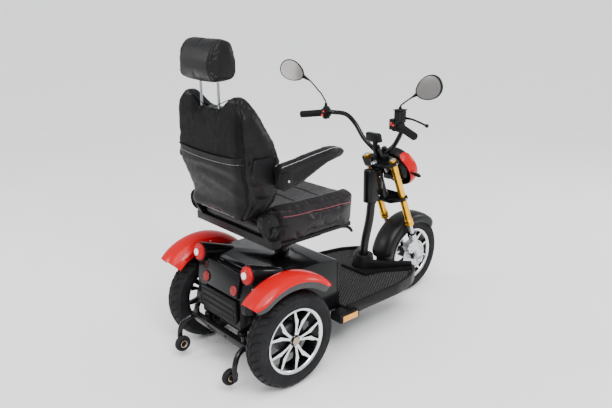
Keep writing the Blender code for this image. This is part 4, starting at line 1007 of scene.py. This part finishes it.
def lever():
    """The brake lever on the right, with the ball at its tip."""
    root = Vector((-0.206, -0.2300, 0.985))
    path = smooth_path([root, (-0.228, -0.2335, 0.986), (-0.262, -0.2330, 0.9855), (-0.310, -0.222, 0.981),
                        (-0.345, -0.2125, 0.977), (-0.362, -0.208, 0.975)], 8)
    count = len(path)
    radii = [0.0085 - 0.0030 * min(1.0, index / (count * 0.35)) for index in range(count)]
    shape = Shape().add(sweep(path, radii, 16, flat=0.8), 0)
    ball = Vector((-0.362, -0.208, 0.975))
    profile = [(0.0088 * math.sin(math.pi * step / 12), -0.0088 * math.cos(math.pi * step / 12))
               for step in range(13)]
    shape.add(lathe(profile, ball, AXLE, 24), 0)
    shape.add(lathe([(0.0, -0.0095), (0.0105, -0.0095), (0.0105, 0.0095), (0.0, 0.0095)], root, UP, 28), 0)
    shape.add(cap_screw(root + Vector((0, 0, 0.0095)), UP, 0.0052, 0.0030), 1)
    shape.build("brake_blade", "brake", "black_frame", [GLOSS, STEEL], 34.0, 0.0, ("brake_lever",))


def mirror(word, side):
    """Teardrop mirror: a smooth shell, a bright glass and a bent stem with its cone."""
    foot_low = Vector((0.230, -0.179, 0.9893)) if side > 0 else Vector((-0.228, -0.190, 1.0253))
    foot_top = foot_low + Vector((0, 0, 0.016))
    yaw = math.radians(18.0 + 13.0 * side)
    turn = (Matrix.Rotation(yaw, 4, "Z") @ Matrix.Rotation(math.radians(-26.0) * side, 4, "Y"))
    place = Matrix.Translation(sided((0.4230, -0.1330, 1.1470), side)) @ turn
    rim_point = place @ Vector((-0.0560 * side, -0.006, 0.0))
    neck_point = place @ Vector((-0.0980 * side, -0.010, -0.004))
    stem = smooth_path([foot_top - Vector((0, 0, 0.010)), foot_top + Vector((0, 0, 0.004)),
                        sided((0.250, -0.166, 1.050), side), sided((0.264, -0.163, 1.062), side), neck_point,
                        rim_point], 8)
    shape = Shape().add(sweep(stem, 0.0034, 12), 0)
    cone = [neck_point.lerp(rim_point, share / 8.0) for share in range(9)]
    cone_radii = [0.0040 + 0.0072 * (index / (len(cone) - 1)) ** 1.3 for index in range(len(cone))]
    shape.add(sweep(cone, cone_radii, 16), 0)
    shape.add(lathe([(0.0, 0.0), (0.0085, 0.0), (0.0085, 0.006), (0.0068, 0.0075), (0.0068, 0.0135),
                     (0.0052, 0.0165), (0.0, 0.0165)], foot_low, UP, 6), 0)
    levels = [(-0.0210, 0.30), (-0.0185, 0.62), (-0.0125, 0.86), (-0.0050, 0.985), (0.0030, 1.0),
              (0.0068, 0.985), (0.0070, 0.930), (0.0050, 0.925)]
    glass = [(0.0046, 0.93), (0.0056, 0.915), (0.0060, 0.60)]

    def egg(depth, scale):
        ring = []
        for step in range(48):
            angle = math.tau * step / 48
            across = 0.0650 * math.cos(angle) * scale
            tall = 0.0485 * math.sin(angle) * scale * (1.0 + 0.16 * math.cos(angle) * side)
            ring.append(place @ Vector((across, depth, tall)))
        return ring

    shape.add(skin([egg(*level) for level in levels]), 0)
    shape.add(skin([egg(*level) for level in glass]), 1)
    shape.build("mirror_piece_" + word, "mirror_l" if side > 0 else "mirror_r", "black_gloss",
                [SATIN, MIRROR], 30.0, 0.0, ("mirror_" + word,))


def instrument():
    refined("display", SATIN, 0.002)
    low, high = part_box("display")
    face = Shape()
    top = high.z
    tilt = Matrix.Translation(Vector((0.0, (low.y + high.y) / 2 + 0.006, top - 0.002)))
    face.add(moved(box((-0.032, -0.013, 0.0), (0.032, 0.013, 0.0030)), tilt), 0)
    face.add(moved(box((-0.027, -0.009, 0.0028), (0.027, 0.009, 0.0040)), tilt), 1)
    face.build("display_face", "steering", "black_gloss", [GLOSS, SCREEN], 30.0, 0.0008)
    key = Shape()
    foot = fork_point(0, 0.046, 0.5893)
    key.add(lathe([(0.0, 0.0), (0.0128, 0.0), (0.0128, 0.0060), (0.0110, 0.0078), (0.0075, 0.0078),
                   (0.0070, 0.0066), (0.0, 0.0066)], foot, FORK_UP, 32), 0)
    key.add(moved(box((-0.0016, 0.0435, 0.5955), (0.0016, 0.0485, 0.6060)), FORK), 0)
    bow = [(0.0365, 0.6050), (0.0345, 0.6130), (0.0375, 0.6235), (0.0460, 0.6275), (0.0545, 0.6235),
           (0.0575, 0.6130), (0.0555, 0.6050)]
    key.add(moved(extruded(bow, -0.0030, 0.0030, "YZ"), FORK), 1)
    key.build("key_piece", "key", "chrome_rod", [CHROME, SATIN], 30.0, 0.0007, ("ignition_key",))


def headlight():
    tilt = math.radians(27.0)
    aim = Vector((0.0, -math.cos(tilt), math.sin(tilt)))
    centre = Vector((0.0, -0.452, 0.690))
    bowl = [(0.0, -0.0585), (0.018, -0.0575), (0.036, -0.0535), (0.052, -0.0455), (0.066, -0.034),
            (0.077, -0.018), (0.084, 0.0), (0.0862, 0.010), (0.0862, 0.018), (0.0835, 0.0275),
            (0.0790, 0.0290), (0.0765, 0.0270), (0.0745, 0.0225), (0.0, 0.0225)]
    lens = [(0.0, 0.0215), (0.0745, 0.0215), (0.0745, 0.0245), (0.0700, 0.0305), (0.0560, 0.0395),
            (0.0400, 0.0462), (0.0200, 0.0500), (0.0, 0.0515)]
    shape = Shape().add(lathe(bowl, centre, aim, 64), 0).add(lathe(lens, centre, aim, 64), 1)
    stay_low = Vector((-0.020, -0.418, 0.640))
    shape.add(box(stay_low, (0.020, -0.372, 0.662)), 0)
    shape.build("headlamp", "steering", "black_gloss", [GLOSS, GLASS], 28.0, 0.0, ("headlight_housing",))
    cowl = Shape()
    ring = [(0.0872, 0.030), (0.0960, 0.0275), (0.1010, 0.0180), (0.1030, 0.004), (0.1015, -0.0180),
            (0.0985, -0.0235), (0.0955, -0.0235), (0.0888, 0.0), (0.0872, 0.016), (0.0872, 0.030)]
    cowl.add(lathe(ring, centre, aim, 72), 1)
    side_axis, other, ahead = axes(aim)
    blade = [(0.0990, 0.0310), (0.1045, 0.0210), (0.1062, 0.0040), (0.1045, -0.0210), (0.1000, -0.0290),
             (0.0995, -0.0180), (0.1012, 0.0), (0.0992, 0.0190), (0.0960, 0.0290)]
    for side in (1, -1):
        target = Vector((side, 0, 0))
        heading = math.degrees(math.atan2(target.dot(other), target.dot(side_axis)))
        rings = []
        steps = 40
        for step in range(steps + 1):
            share = step / steps
            angle = math.radians(heading - 68.0 + 136.0 * share)
            out = side_axis * math.cos(angle) + other * math.sin(angle)
            ease = min(1.0, min(share, 1.0 - share) / 0.16)
            width = 0.25 + 0.75 * ease
            rings.append([centre + out * (0.0985 + (radius - 0.0985) * width) + ahead * (level * width)
                          for radius, level in blade])
        cowl.add(skin(rings), 0)
    cowl.build("headlamp_cowl", "steering", "red_gloss", [RED, SATIN], 36.0, 0.0, ("headlight_cowl",))
    signals = Shape()
    for side in (1, -1):
        root = centre + Vector((0.098 * side, 0.020, -0.012))
        tip = root + Vector((0.052 * side, -0.018, -0.012))
        path = [root.lerp(tip, share) for share in (0.0, 0.15, 0.45, 0.75, 0.93, 1.0)]
        signals.add(sweep(path, [0.0060, 0.0060, 0.0120, 0.0135, 0.0095, 0.004], 20, flat=0.65), 0)
        signals.add(moved(dome((0, 0, 0), (0, 1, 0), 0.0090, 0.0035, 20, 4),
                          Matrix.Translation(root.lerp(tip, 0.66) + Vector((0, -0.0065, 0)))
                          @ Matrix.Rotation(math.pi, 4, "Z") @ Matrix.Scale(1.5, 4, (1, 0, 0))), 1)
    signals.build("front_indicators", "steering", "black_gloss", [SATIN, AMBER], 34.0)


# ---------------------------------------------------------------- padded parts
def simulate(obj, pressure, reach, frames=20):
    """Swells the mesh like stuffed cloth; no point moves further than reach."""
    rest = [vert.co.copy() for vert in obj.data.vertices]
    cloth = obj.modifiers.new("cloth", "CLOTH")
    cloth.settings.quality = 5
    cloth.settings.mass = 0.25
    cloth.settings.use_pressure = True
    cloth.settings.uniform_pressure_force = pressure
    cloth.settings.tension_stiffness = 14.0
    cloth.settings.compression_stiffness = 14.0
    cloth.settings.shear_stiffness = 8.0
    cloth.settings.bending_stiffness = 0.6
    cloth.settings.effector_weights.gravity = 0.0
    cloth.collision_settings.use_collision = False
    cloth.point_cache.frame_start = 1
    cloth.point_cache.frame_end = frames
    scene = bpy.context.scene
    for number in range(1, frames + 1):
        scene.frame_set(number)
    graph = bpy.context.evaluated_depsgraph_get()
    swollen = obj.evaluated_get(graph)
    shifts = [found.co - start for found, start in zip(swollen.data.vertices, rest)]
    obj.modifiers.clear()
    scene.frame_set(1)
    for vert, start, shift in zip(obj.data.vertices, rest, shifts):
        if shift.length > reach:
            shift = shift * (reach / shift.length)
        vert.co = start + shift


def pad(node, name, inset, pressure, reach, voxel, shape_first=None):
    """The CAD solid's form, remeshed, reshaped, swollen as cloth and made finer."""
    low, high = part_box(node)
    centre = (low + high) / 2
    size = high - low
    obj = link(name, node_mesh(node, name))
    obj.data.materials.clear()
    for vert in obj.data.vertices:
        for axis in range(3):
            share = 1.0 - 2.0 * inset / size[axis]
            vert.co[axis] = centre[axis] + (vert.co[axis] - centre[axis]) * share
    remesh = obj.modifiers.new("remesh", "REMESH")
    remesh.mode = "VOXEL"
    remesh.voxel_size = voxel
    soften = obj.modifiers.new("soften", "SMOOTH")
    soften.iterations = 6
    soften.factor = 0.5
    baked(obj)
    if shape_first:
        for vert in obj.data.vertices:
            vert.co = shape_first(vert.co)
        obj.data.update()
    simulate(obj, pressure, reach)
    finer = obj.modifiers.new("finer", "SUBSURF")
    finer.levels = finer.render_levels = 1
    return baked(obj)


def reshape(obj, rule):
    """Moves each point by rule(place, normal), which gives its new place."""
    normals = [vert.normal.copy() for vert in obj.data.vertices]
    for vert, normal in zip(obj.data.vertices, normals):
        vert.co = rule(vert.co, normal)
    obj.data.update()


def groove(distance, width, depth):
    """How deep a seam presses in at a distance from it."""
    return depth * math.exp(-(distance / width) ** 2)


def finish_pad(obj, body, materials, node, look=None):
    """Materials by face, smooth shading, the CAD node hidden and the piece hung on its body."""
    for material in materials:
        obj.data.materials.append(material)
    if look:
        for face in obj.data.polygons:
            face.material_index = look(face.center, face.normal)
    obj.data.shade_smooth()
    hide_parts(node)
    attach(obj, body)
    return obj


def ease(value, start, end):
    t = min(1.0, max(0.0, (value - start) / (end - start)))
    return t * t * (3.0 - 2.0 * t)


def stitches(shape, tree, path, spacing=0.0065, length=0.0042, radius=0.00055, lift=0.0003, look=0):
    """A row of thread stitches lying on a surface along a path."""
    points = [Vector(point) for point in path]
    travelled = 0.0
    due = spacing * 0.5
    for start, end in zip(points, points[1:]):
        step = (end - start).length
        while travelled + step > due:
            share = (due - travelled) / step
            middle_point = start.lerp(end, share)
            ahead = (end - start).normalized() * length / 2
            ends = on_surface(tree, [middle_point - ahead, middle_point, middle_point + ahead], lift)
            shape.add(sweep(ends, [radius * 0.6, radius, radius * 0.6], 6), look)
            due += spacing
        travelled += step


BOLSTER_X = 0.158
PIPING_LIFT = 0.0008


def seat_rule(place):
    """Raised side bolsters, a dished middle and a rolled front."""
    made = place.copy()
    top_share = ease(place.z, 0.615, 0.665)
    reach = abs(place.x)
    made.z += top_share * (0.020 * ease(reach, 0.135, 0.195) - 0.006 * (1.0 - ease(reach, 0.06, 0.15)))
    made.z -= top_share * 0.030 * (1.0 - ease(place.y, 0.045, 0.120)) ** 2
    made.x *= 1.0 - 0.10 * (1.0 - ease(place.y, 0.045, 0.150)) ** 2
    made.z += (1.0 - top_share) * 0.040 * (1.0 - ease(place.y, 0.045, 0.180)) ** 1.5
    made.y -= 0.016 * (1.0 - ease(place.y, 0.10, 0.40))
    made.z += top_share * 0.006 * ease(place.y, 0.30, 0.47)
    return made


def seat():
    cushion = pad("seat_cushion", "cushion", 0.004, 4.0, 0.012, 0.0055, seat_rule)
    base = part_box("seat_cushion")[0].z

    def seams(place, normal):
        made = place.copy()
        press = 0.0
        if normal.z > 0.25 and place.z > 0.64:
            reach = abs(place.x)
            press = max(press, groove(abs(reach - BOLSTER_X), 0.0042, 0.0085))
            if reach < BOLSTER_X:
                for line in (0.190, 0.315):
                    away = abs(place.y - line - 0.10 * (reach / 0.3) ** 2)
                    press = max(press, groove(away, 0.0036, 0.0070))
        side = groove(abs(place.z - seam_height(place.y)), 0.0030, 0.0030) if abs(normal.z) < 0.9 else 0.0
        if place.y < 0.47:
            press = max(press, side)
        made -= normal * press
        made.z = max(made.z, base)
        return made

    reshape(cushion, seams)
    finish_pad(cushion, "seat", [SEAT_LEATHER], "seat_cushion")
    tree = tree_of(cushion)
    piping = Shape()
    route = []
    for point in seat_outline(0.26):
        level = Vector((point[0] * 1.3, point[1] - 0.10, seam_height(point[1])))
        target = Vector((point[0] * 0.3, 0.25 + 0.6 * (point[1] - 0.25), level.z))
        hit, normal, _, _ = tree.ray_cast(level, (target - level).normalized())
        if hit is not None:
            route.append(hit + normal * PIPING_LIFT)
    piping.add(sweep(route, 0.0021, 8))
    thread = Shape()
    for side in (1, -1):
        line = [(BOLSTER_X * side, 0.085 + 0.0125 * step, 0.72) for step in range(31)]
        above = Vector((0.0045 * side, 0, 0.1))
        near = [tree.ray_cast(Vector(point) + above, DOWN)[0] for point in line]
        stitches(thread, tree, [point for point in near if point], 0.0075)
    piping.build("seat_piping", "seat", "black_leather", ROSE, 60.0)
    thread.build("seat_stitches", "seat", "black_leather", RED_THREAD, 60.0)
    refined("seat_pan", SATIN, 0.0020)
    refined("swivel_head", SATIN, 0.0015)
    fittings()


def seam_height(y):
    """The height of the cushion's side seam, which drops towards the front."""
    return 0.684 - 0.010 * (1.0 - ease(y, 0.05, 0.25)) + 0.004 * ease(y, 0.30, 0.47)


def seat_outline(half):
    """A line round the cushion from the back left, past the front, to the back right."""
    side = [(half, 0.575), (half, 0.50), (half, 0.42), (half, 0.30), (half, 0.20), (half - 0.008, 0.135),
            (0.205, 0.085), (0.150, 0.050), (0.075, 0.040), (0.0, 0.038)]
    left = [(x, y, 0.0) for x, y in side]
    right = [(-x, y, 0.0) for x, y in reversed(side[:-1])]
    return smooth_path([*left, *right], 6)


def fittings():
    """Recliner covers, hinge bolts and the levers of the seat."""
    for word, side in SIDES:
        shape = Shape()
        outline = [(0.516, 0.632), (0.560, 0.630), (0.586, 0.665), (0.586, 0.708), (0.560, 0.722),
                   (0.524, 0.710), (0.506, 0.670)]
        rounded = [(point.x, point.y) for point in smooth_path([(y, z, 0.0) for y, z in outline], 4, True)]
        low, high = sorted((0.2424 * side, 0.2475 * side))
        shape.add(extruded(rounded, low, high, "YZ"), 0)
        for y, z in ((0.560, 0.700), (0.545, 0.640)):
            shape.add(cap_screw((0.2474 * side, y, z), (side, 0, 0), 0.0070, 0.0036), 1)
        shape.build("recliner_cover_" + word, "seat", "black_frame", [SATIN, PAINT], 32.0, 0.0012)
    for node, side in (("swivel_lever", -1), ("slide_lever", 1)):
        route = [(0.150, 0.160, 0.5525), (0.180, 0.110, 0.5520), (0.192, 0.078, 0.545), (0.197, 0.062, 0.525)]
        path = smooth_path([sided(point, side) for point in route], 8)
        shape = Shape().add(sweep(path, 0.0050, 16), 0)
        handle = path[-11:]
        radii = [0.0056 + 0.0016 * math.sin(math.pi * min(1.0, (index + 1) / len(handle)))
                 for index in range(len(handle))]
        shape.add(sweep(handle, radii, 16), 1)
        shape.build("handle_" + node, "lever_swivel" if side < 0 else "lever_slide", "black_frame",
                    [PAINT, SATIN], 32.0, 0.0, (node,))
    pivot = Vector((-0.2425, 0.535, 0.655))
    path = smooth_path([pivot - Vector((0.009, 0, 0)), pivot + Vector((-0.0095, -0.022, 0.0045)),
                        pivot + Vector((-0.0105, -0.050, 0.006)), pivot + Vector((-0.011, -0.075, 0.002))], 6)
    shape = Shape().add(sweep(path, [0.0065] * (len(path) - 1) + [0.0040], 16, flat=0.7), 0)
    shape.add(rod(pivot, pivot - Vector((0.0125, 0, 0)), 0.0160, 0.0150, 32), 0)
    shape.add(cap_screw(pivot - Vector((0.0125, 0, 0)), (-1, 0, 0), 0.0055, 0.0025), 1)
    shape.build("recliner_handle", "lever_recline", "black_frame", [SATIN, PAINT], 32.0, 0.0,
                ("recline_lever",))


def back_half_width(z):
    """Half the backrest's width at a height."""
    table = [(0.672, 0.172), (0.760, 0.206), (0.850, 0.229), (0.970, 0.238), (1.100, 0.232), (1.165, 0.196)]
    for (low, a), (high, b) in zip(table, table[1:]):
        if z <= high:
            t = max(0.0, (z - low) / (high - low))
            return a + (b - a) * t
    return table[-1][1]


def back_rule(place):
    """Deep rounded shoulders on the back and bolsters on the front."""
    made = place.copy()
    reach = abs(place.x) / max(0.05, back_half_width(place.z))
    rear = ease(place.y, 0.585, 0.640)
    made.y -= rear * 0.012 * ease(reach, 0.80, 1.02) ** 1.5
    made.x *= 1.0 + 0.14 * (1.0 - ease(place.z, 0.69, 0.84))
    made.y -= 0.016 * ease(place.z, 0.70, 0.76)
    made.y -= 0.026 * rear * (1.0 - ease(place.z, 0.68, 0.92))
    made.z += ease(place.z, 0.93, 1.14) * (0.014 + 0.016 * ease(reach, 0.30, 0.75))
    front = 1.0 - ease(place.y, 0.530, 0.590)
    made.y += front * 0.034 * (1.0 - ease(reach, 0.45, 0.78))
    return made


def rear_line(share, low=0.690, high=1.146):
    """The seam's loop round the rear panel, at a share of the half width."""
    rows = 26
    side = []
    for row in range(rows + 1):
        z = low + (high - low) * row / rows
        half = back_half_width(z) * share
        if row > rows - 5:
            half -= 0.020 * ((row - rows + 5) / 5.0) ** 2
        side.append((half, z))
    top = [(0.120, high + 0.002), (0.085, high - 0.012), (0.055, high - 0.032), (0.0, high - 0.046)]
    left = [*side, *top]
    return [*left, *((-x, z) for x, z in reversed(left[:-1]))]


def backrest():
    back = pad("backrest_pad", "back_pad", 0.001, 4.0, 0.012, 0.0058, back_rule)
    panel_share = 0.90

    def seams(place, normal):
        made = place.copy()
        press = 0.0
        share = abs(place.x) / max(0.05, back_half_width(place.z))
        if normal.y > 0.0 and place.z < 1.15:
            half = back_half_width(place.z)
            press = groove(abs(share - panel_share) * half, 0.0040, 0.0060)
            press = max(press, groove(abs(place.z - 0.690), 0.0034, 0.0035)) if share < panel_share else press
        if normal.y < -0.25:
            half = back_half_width(place.z)
            press = max(press, groove(abs(share - 0.62) * half, 0.0042, 0.0080))
            if share < 0.62:
                for line in (0.800, 0.920, 1.035):
                    press = max(press, groove(abs(place.z - line), 0.0038, 0.0070))
        if normal.z > 0.35 and place.z > 1.04:
            for side in (1, -1):
                distance = math.hypot(place.x - HEAD_POST_X * side, place.y - HEAD_POST_Y)
                press = max(press, groove(distance, 0.016, 0.008))
        made -= normal * press
        return made

    reshape(back, seams)

    def look(centre, normal):
        share = abs(centre.x) / max(0.05, back_half_width(centre.z))
        return 1 if normal.y > 0.15 and share < panel_share and centre.z < 1.14 and centre.y > 0.60 else 0

    finish_pad(back, "backrest", [LEATHER, VINYL], "backrest_pad", look)
    tree = tree_of(back)
    piping = Shape()
    line = [(x, 0.70, z) for x, z in rear_line(panel_share)]
    hits = [tree.ray_cast(Vector(point), FORWARD)[0] for point in line]
    path = [point + Vector((0, 0.0002, 0)) for point in hits if point is not None]
    piping.add(sweep(path, 0.0019, 8), 0)
    foot = [(0.128 - 0.016 * step, 0.75, 0.6885) for step in range(17)]
    hits = [tree.ray_cast(Vector(point), FORWARD)[0] for point in foot]
    light = [point + Vector((0, 0.0006, 0)) for point in hits if point is not None]
    piping.add(sweep(light, 0.0015, 8), 1)
    piping.build("back_piping", "backrest", "black_leather", [BLACK_PIPING, GREY_THREAD], 60.0)
    pocket(tree)
    thread = Shape()
    for side in (1, -1):
        route = []
        for step in range(40):
            z = 0.720 + 0.0098 * step
            behind = Vector((back_half_width(z) * (panel_share - 0.035) * side, 0.75, z))
            hit = tree.ray_cast(behind, FORWARD)[0]
            if hit is not None:
                route.append(hit)
        stitches(thread, tree, route, 0.0080)
    thread.build("back_stitches", "backrest", "black_leather", BLACK_PIPING, 60.0)
    sockets = Shape()
    for side in (1, -1):
        top = tree.ray_cast(Vector((HEAD_POST_X * side, HEAD_POST_Y, 1.30)), DOWN)[0]
        height = top.z if top else 1.11
        collar = [(0.0066, -0.006), (0.0125, -0.006), (0.0135, 0.0), (0.0125, 0.0035), (0.0085, 0.0060),
                  (0.0066, 0.0060), (0.0066, -0.006)]
        place = (HEAD_POST_X * side, HEAD_POST_Y, max(height, 1.095))
        sockets.add(lathe(collar, place, UP, 28))
    sockets.build("post_collars", "backrest", "black_matte", SATIN)


def pocket(tree):
    """The map pocket: a sagging vinyl panel on the lower back with a hemmed mouth."""
    columns, rows = 44, 34
    low_z, high_z = 0.700, 0.945
    outer = []
    for row in range(rows + 1):
        v = row / rows
        z = low_z + (high_z - low_z) * v
        line = []
        for column_index in range(columns + 1):
            u = column_index / columns * 2.0 - 1.0
            half = back_half_width(z) * 0.885
            x = half * u
            level = z - 0.010 * v * (1.0 - u * u)
            hit = tree.ray_cast(Vector((x, 0.80, level)), FORWARD)[0]
            y = hit.y if hit else 0.655
            bulge = 0.0022 + 0.0100 * (1.0 - u * u) * math.sin(math.pi * min(1.0, 0.12 + 0.80 * v)) ** 0.8
            fold = 0.0034 * math.exp(-((v - 0.84 + 0.10 * u * u) / 0.040) ** 2)
            fold -= 0.0026 * math.exp(-((v - 0.74 + 0.16 * u * u) / 0.045) ** 2)
            fold += 0.0022 * math.exp(-((v - 0.60 + 0.22 * u * u - 0.06 * u) / 0.060) ** 2)
            crease = 0.0016 * noise.noise(Vector((x * 9.0, z * 26.0, 3.7)))
            line.append(Vector((x, y + bulge + (fold + crease) * (1.0 - u ** 4), level)))
        outer.append(line)
    inner = [[point - Vector((0, 0.0016, 0)) for point in line] for line in outer]
    rings = [[*line, *reversed(back)] for line, back in zip(outer, inner)]
    shape = Shape().add(skin(rings), 0)
    hem = [point + Vector((0, 0.0004, 0.0002)) for point in outer[-1]]
    shape.add(sweep(hem, 0.0021, 8), 1)
    stitched = Shape()
    hem_row = outer[rows - 3]
    for a, b in zip(hem_row, hem_row[1:]):
        ends = [a.lerp(b, share) + Vector((0, 0.0006, 0)) for share in (0.15, 0.75)]
        stitched.add(sweep(ends, 0.0006, 6))
    shape.build("map_pocket", "backrest", "black_leather", [POCKET, BLACK_PIPING], 50.0)
    stitched.build("pocket_stitches", "backrest", "black_leather", GREY_THREAD, 60.0)


def head_rule(place):
    """A crowned front and bulging side panels."""
    low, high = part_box("headrest_pad")
    centre = (low + high) / 2
    made = place.copy()
    reach = abs(place.x) / (high.x - centre.x)
    tall = (place.z - centre.z) / (high.z - centre.z)
    made.x += math.copysign(0.007, place.x) * ease(reach, 0.85, 1.0) * (1.0 - tall * tall)
    made.z -= 0.004 * ease(reach, 0.70, 1.0) * tall
    return made


def headrest():
    head = pad("headrest_pad", "head_pad", 0.004, 4.0, 0.008, 0.0045, head_rule)
    low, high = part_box("headrest_pad")
    seam = high.x - 0.0185

    def seams(place, normal):
        press = groove(abs(abs(place.x) - seam), 0.0028, 0.0040)
        made = place - normal * press
        if normal.z < -0.5:
            made.z = max(made.z, low.z)
        return made

    reshape(head, seams)
    finish_pad(head, "headrest", [LEATHER], "headrest_pad")
    tree = tree_of(head)
    centre = (low + high) / 2
    piping = Shape()
    for side in (1, -1):
        loop = []
        for step in range(72):
            angle = math.tau * step / 72
            ray = Vector((0.0, math.cos(angle), math.sin(angle)))
            hit = tree.ray_cast(Vector((seam * side, centre.y, centre.z)) + ray * 0.3, -ray)[0]
            if hit is not None:
                loop.append(hit + ray * 0.0002)
        piping.add(sweep(loop, 0.0019, 8, closed=True), 0)
        thread_loop = [point - Vector((0.0052 * side, 0, 0)) for point in loop]
        stitches(piping, tree, [*thread_loop, thread_loop[0]], 0.0070, 0.0042, 0.0005, 0.0004, 1)
    piping.build("head_piping", "headrest", "black_leather", [BLACK_PIPING, RED_THREAD], 60.0)
    posts = Shape()
    for side in (1, -1):
        x = HEAD_POST_X * side
        posts.add(rod((x, HEAD_POST_Y, 1.000), (x, HEAD_POST_Y, 1.2040), 0.0052, sides=24))
        for notch in range(4):
            height = 1.120 + 0.018 * notch
            posts.add(lathe([(0.0047, -0.0012), (0.00535, -0.0010), (0.00535, 0.0010), (0.0047, 0.0012)],
                            (x, HEAD_POST_Y, height), UP, 24))
    posts.build("head_posts", "headrest", "chrome_rod", POST, 34.0, 0.0, ("headrest_posts",))


def arm_rule(place):
    """Slimmer towards the front."""
    made = place.copy()
    low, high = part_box("armrest_left" if place.x > 0 else "armrest_right")
    centre_x = (low.x + high.x) / 2
    slim = 0.86 + 0.14 * ease(place.y, 0.21, 0.32)
    made.x = centre_x + (place.x - centre_x) * slim
    return made


def armrests():
    for word, side in SIDES:
        node = "armrest_" + word
        low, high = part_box(node)
        arm = pad(node, "arm_pad_" + word, 0.002, 4.0, 0.005, 0.0042, arm_rule)
        centre_x = (low.x + high.x) / 2
        edge = (high.x - low.x) / 2 - 0.010
        inner = min(abs(low.x), abs(high.x))

        def top_line(y):
            return 0.954 - 0.038 * ease(y, 0.280, 0.546) if y > 0.28 else 0.954 - 0.010 * (0.28 - y) / 0.05

        def seams(place, normal):
            press = 0.0
            if normal.z > 0.2:
                press = groove(abs(abs(place.x - centre_x) - edge), 0.0026, 0.0028)
            made = place - normal * press
            made.x = side * max(abs(made.x), inner + 0.0006)
            return made

        reshape(arm, seams)

        def look(centre, normal):
            return 1 if centre.z < top_line(centre.y) - 0.034 or centre.y > 0.536 else 0

        finish_pad(arm, "arm_" + word, [LEATHER, SATIN], node, look)
        tree = tree_of(arm)
        lines = Shape()
        for offset in (edge, -edge):
            route = []
            for step in range(44):
                y = 0.228 + 0.0071 * step
                hit = tree.ray_cast(Vector((centre_x + offset, y, 1.1)), DOWN)[0]
                if hit is not None and hit.z > top_line(y) - 0.030:
                    route.append(hit)
            lines.add(sweep([point + Vector((0, 0, 0.0004)) for point in route], 0.0013, 8), 0)
        lines.build("arm_piping_" + word, "arm_" + word, "black_leather", [GREY_THREAD], 60.0)
        hinge = Shape()
        plate_face = 0.3120
        outline = [(0.492, 0.836), (0.540, 0.828), (0.545, 0.890), (0.532, 0.897), (0.497, 0.890)]
        ends = sorted(((plate_face + 0.0012) * side, (plate_face + 0.0062) * side))
        hinge.add(extruded(outline, ends[0], ends[1], "YZ"), 0)
        screw_place = ((plate_face + 0.0060) * side, 0.515, 0.862)
        hinge.add(cap_screw(screw_place, (side, 0, 0), 0.0050, 0.0030), 1)
        hinge.build("arm_hinge_" + word, "arm_" + word, "black_matte", [SATIN, STEEL], 32.0, 0.0030)
        refined("armrest_bracket_" + word, SATIN, 0.0015)
        screws = Shape()
        plate_low, plate_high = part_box("armrest_bracket_" + word)
        outside = max(abs(plate_low.x), abs(plate_high.x)) * side
        for y, z in ((0.600, 0.925), (0.606, 0.885), (0.565, 0.855)):
            screws.add(cap_screw((outside, y, z), (side, 0, 0), 0.0050, 0.0002))
        screws.build("bracket_screws_" + word, "backrest", "black_frame", SATIN)


# ---------------------------------------------------------------- studio
def studio():
    floor = link("studio_floor", bpy.data.meshes.new("studio_floor"))
    bm = bmesh.new()
    bmesh.ops.create_grid(bm, x_segments=2, y_segments=2, size=160.0)
    bm.to_mesh(floor.data)
    bm.free()
    floor.data.materials.append(FLOOR)
    world = bpy.data.worlds.new("studio")
    world.use_nodes = True
    background = world.node_tree.nodes["Background"]
    background.inputs["Color"].default_value = (0.96, 0.98, 1.0, 1.0)
    background.inputs["Strength"].default_value = 0.8
    bpy.context.scene.world = world
    sun = bpy.data.lights.new("sun", "SUN")
    sun.energy = 3.0
    sun.angle = math.radians(50.0)
    sun_object = bpy.data.objects.new("sun", sun)
    sun_object.rotation_euler = (math.radians(-18.0), math.radians(-20.0), 0.0)
    bpy.context.scene.collection.objects.link(sun_object)
    lights = (("key", (-2.6, 1.2, 3.0), 1.1, 75.0), ("fill", (2.2, 3.0, 2.4), 1.2, 45.0),
              ("front", (-1.4, -3.4, 2.2), 1.3, 45.0))
    for name, place, size, power in lights:
        data = bpy.data.lights.new(name, "AREA")
        data.shape = "DISK"
        data.size = size
        data.energy = power
        lamp_object = bpy.data.objects.new(name, data)
        lamp_object.location = place
        target = Vector((0.0, 0.1, 0.6))
        lamp_object.rotation_euler = (Vector(place) - target).to_track_quat("Z", "Y").to_euler()
        bpy.context.scene.collection.objects.link(lamp_object)


def camera():
    """The photographer's place: behind, above and to the right of the scooter."""
    data = bpy.data.cameras.new("camera")
    data.sensor_width = 36.0
    data.lens = 39.22
    made = bpy.data.objects.new("camera", data)
    yaw = math.radians(48.786)
    pitch = math.radians(17.846)
    roll = math.radians(-0.357)
    ahead = Vector((math.cos(pitch) * math.sin(yaw), -math.cos(pitch) * math.cos(yaw), -math.sin(pitch)))
    right = ahead.cross(Vector((0, 0, 1))).normalized()
    up = right.cross(ahead)
    rolled_right = right * math.cos(roll) + up * math.sin(roll)
    rolled_up = up * math.cos(roll) - right * math.sin(roll)
    matrix = Matrix((rolled_right, rolled_up, -ahead)).transposed().to_4x4()
    matrix.translation = (-2.1115, 2.0035, 1.5258)
    made.matrix_world = matrix
    bpy.context.scene.collection.objects.link(made)
    bpy.context.scene.camera = made


wheels()
rear_body()
lower_frame()
foot_tray()
column()
fork()
front_fender()
bars()
headlight()
seat()
backrest()
headrest()
armrests()
studio()
camera()
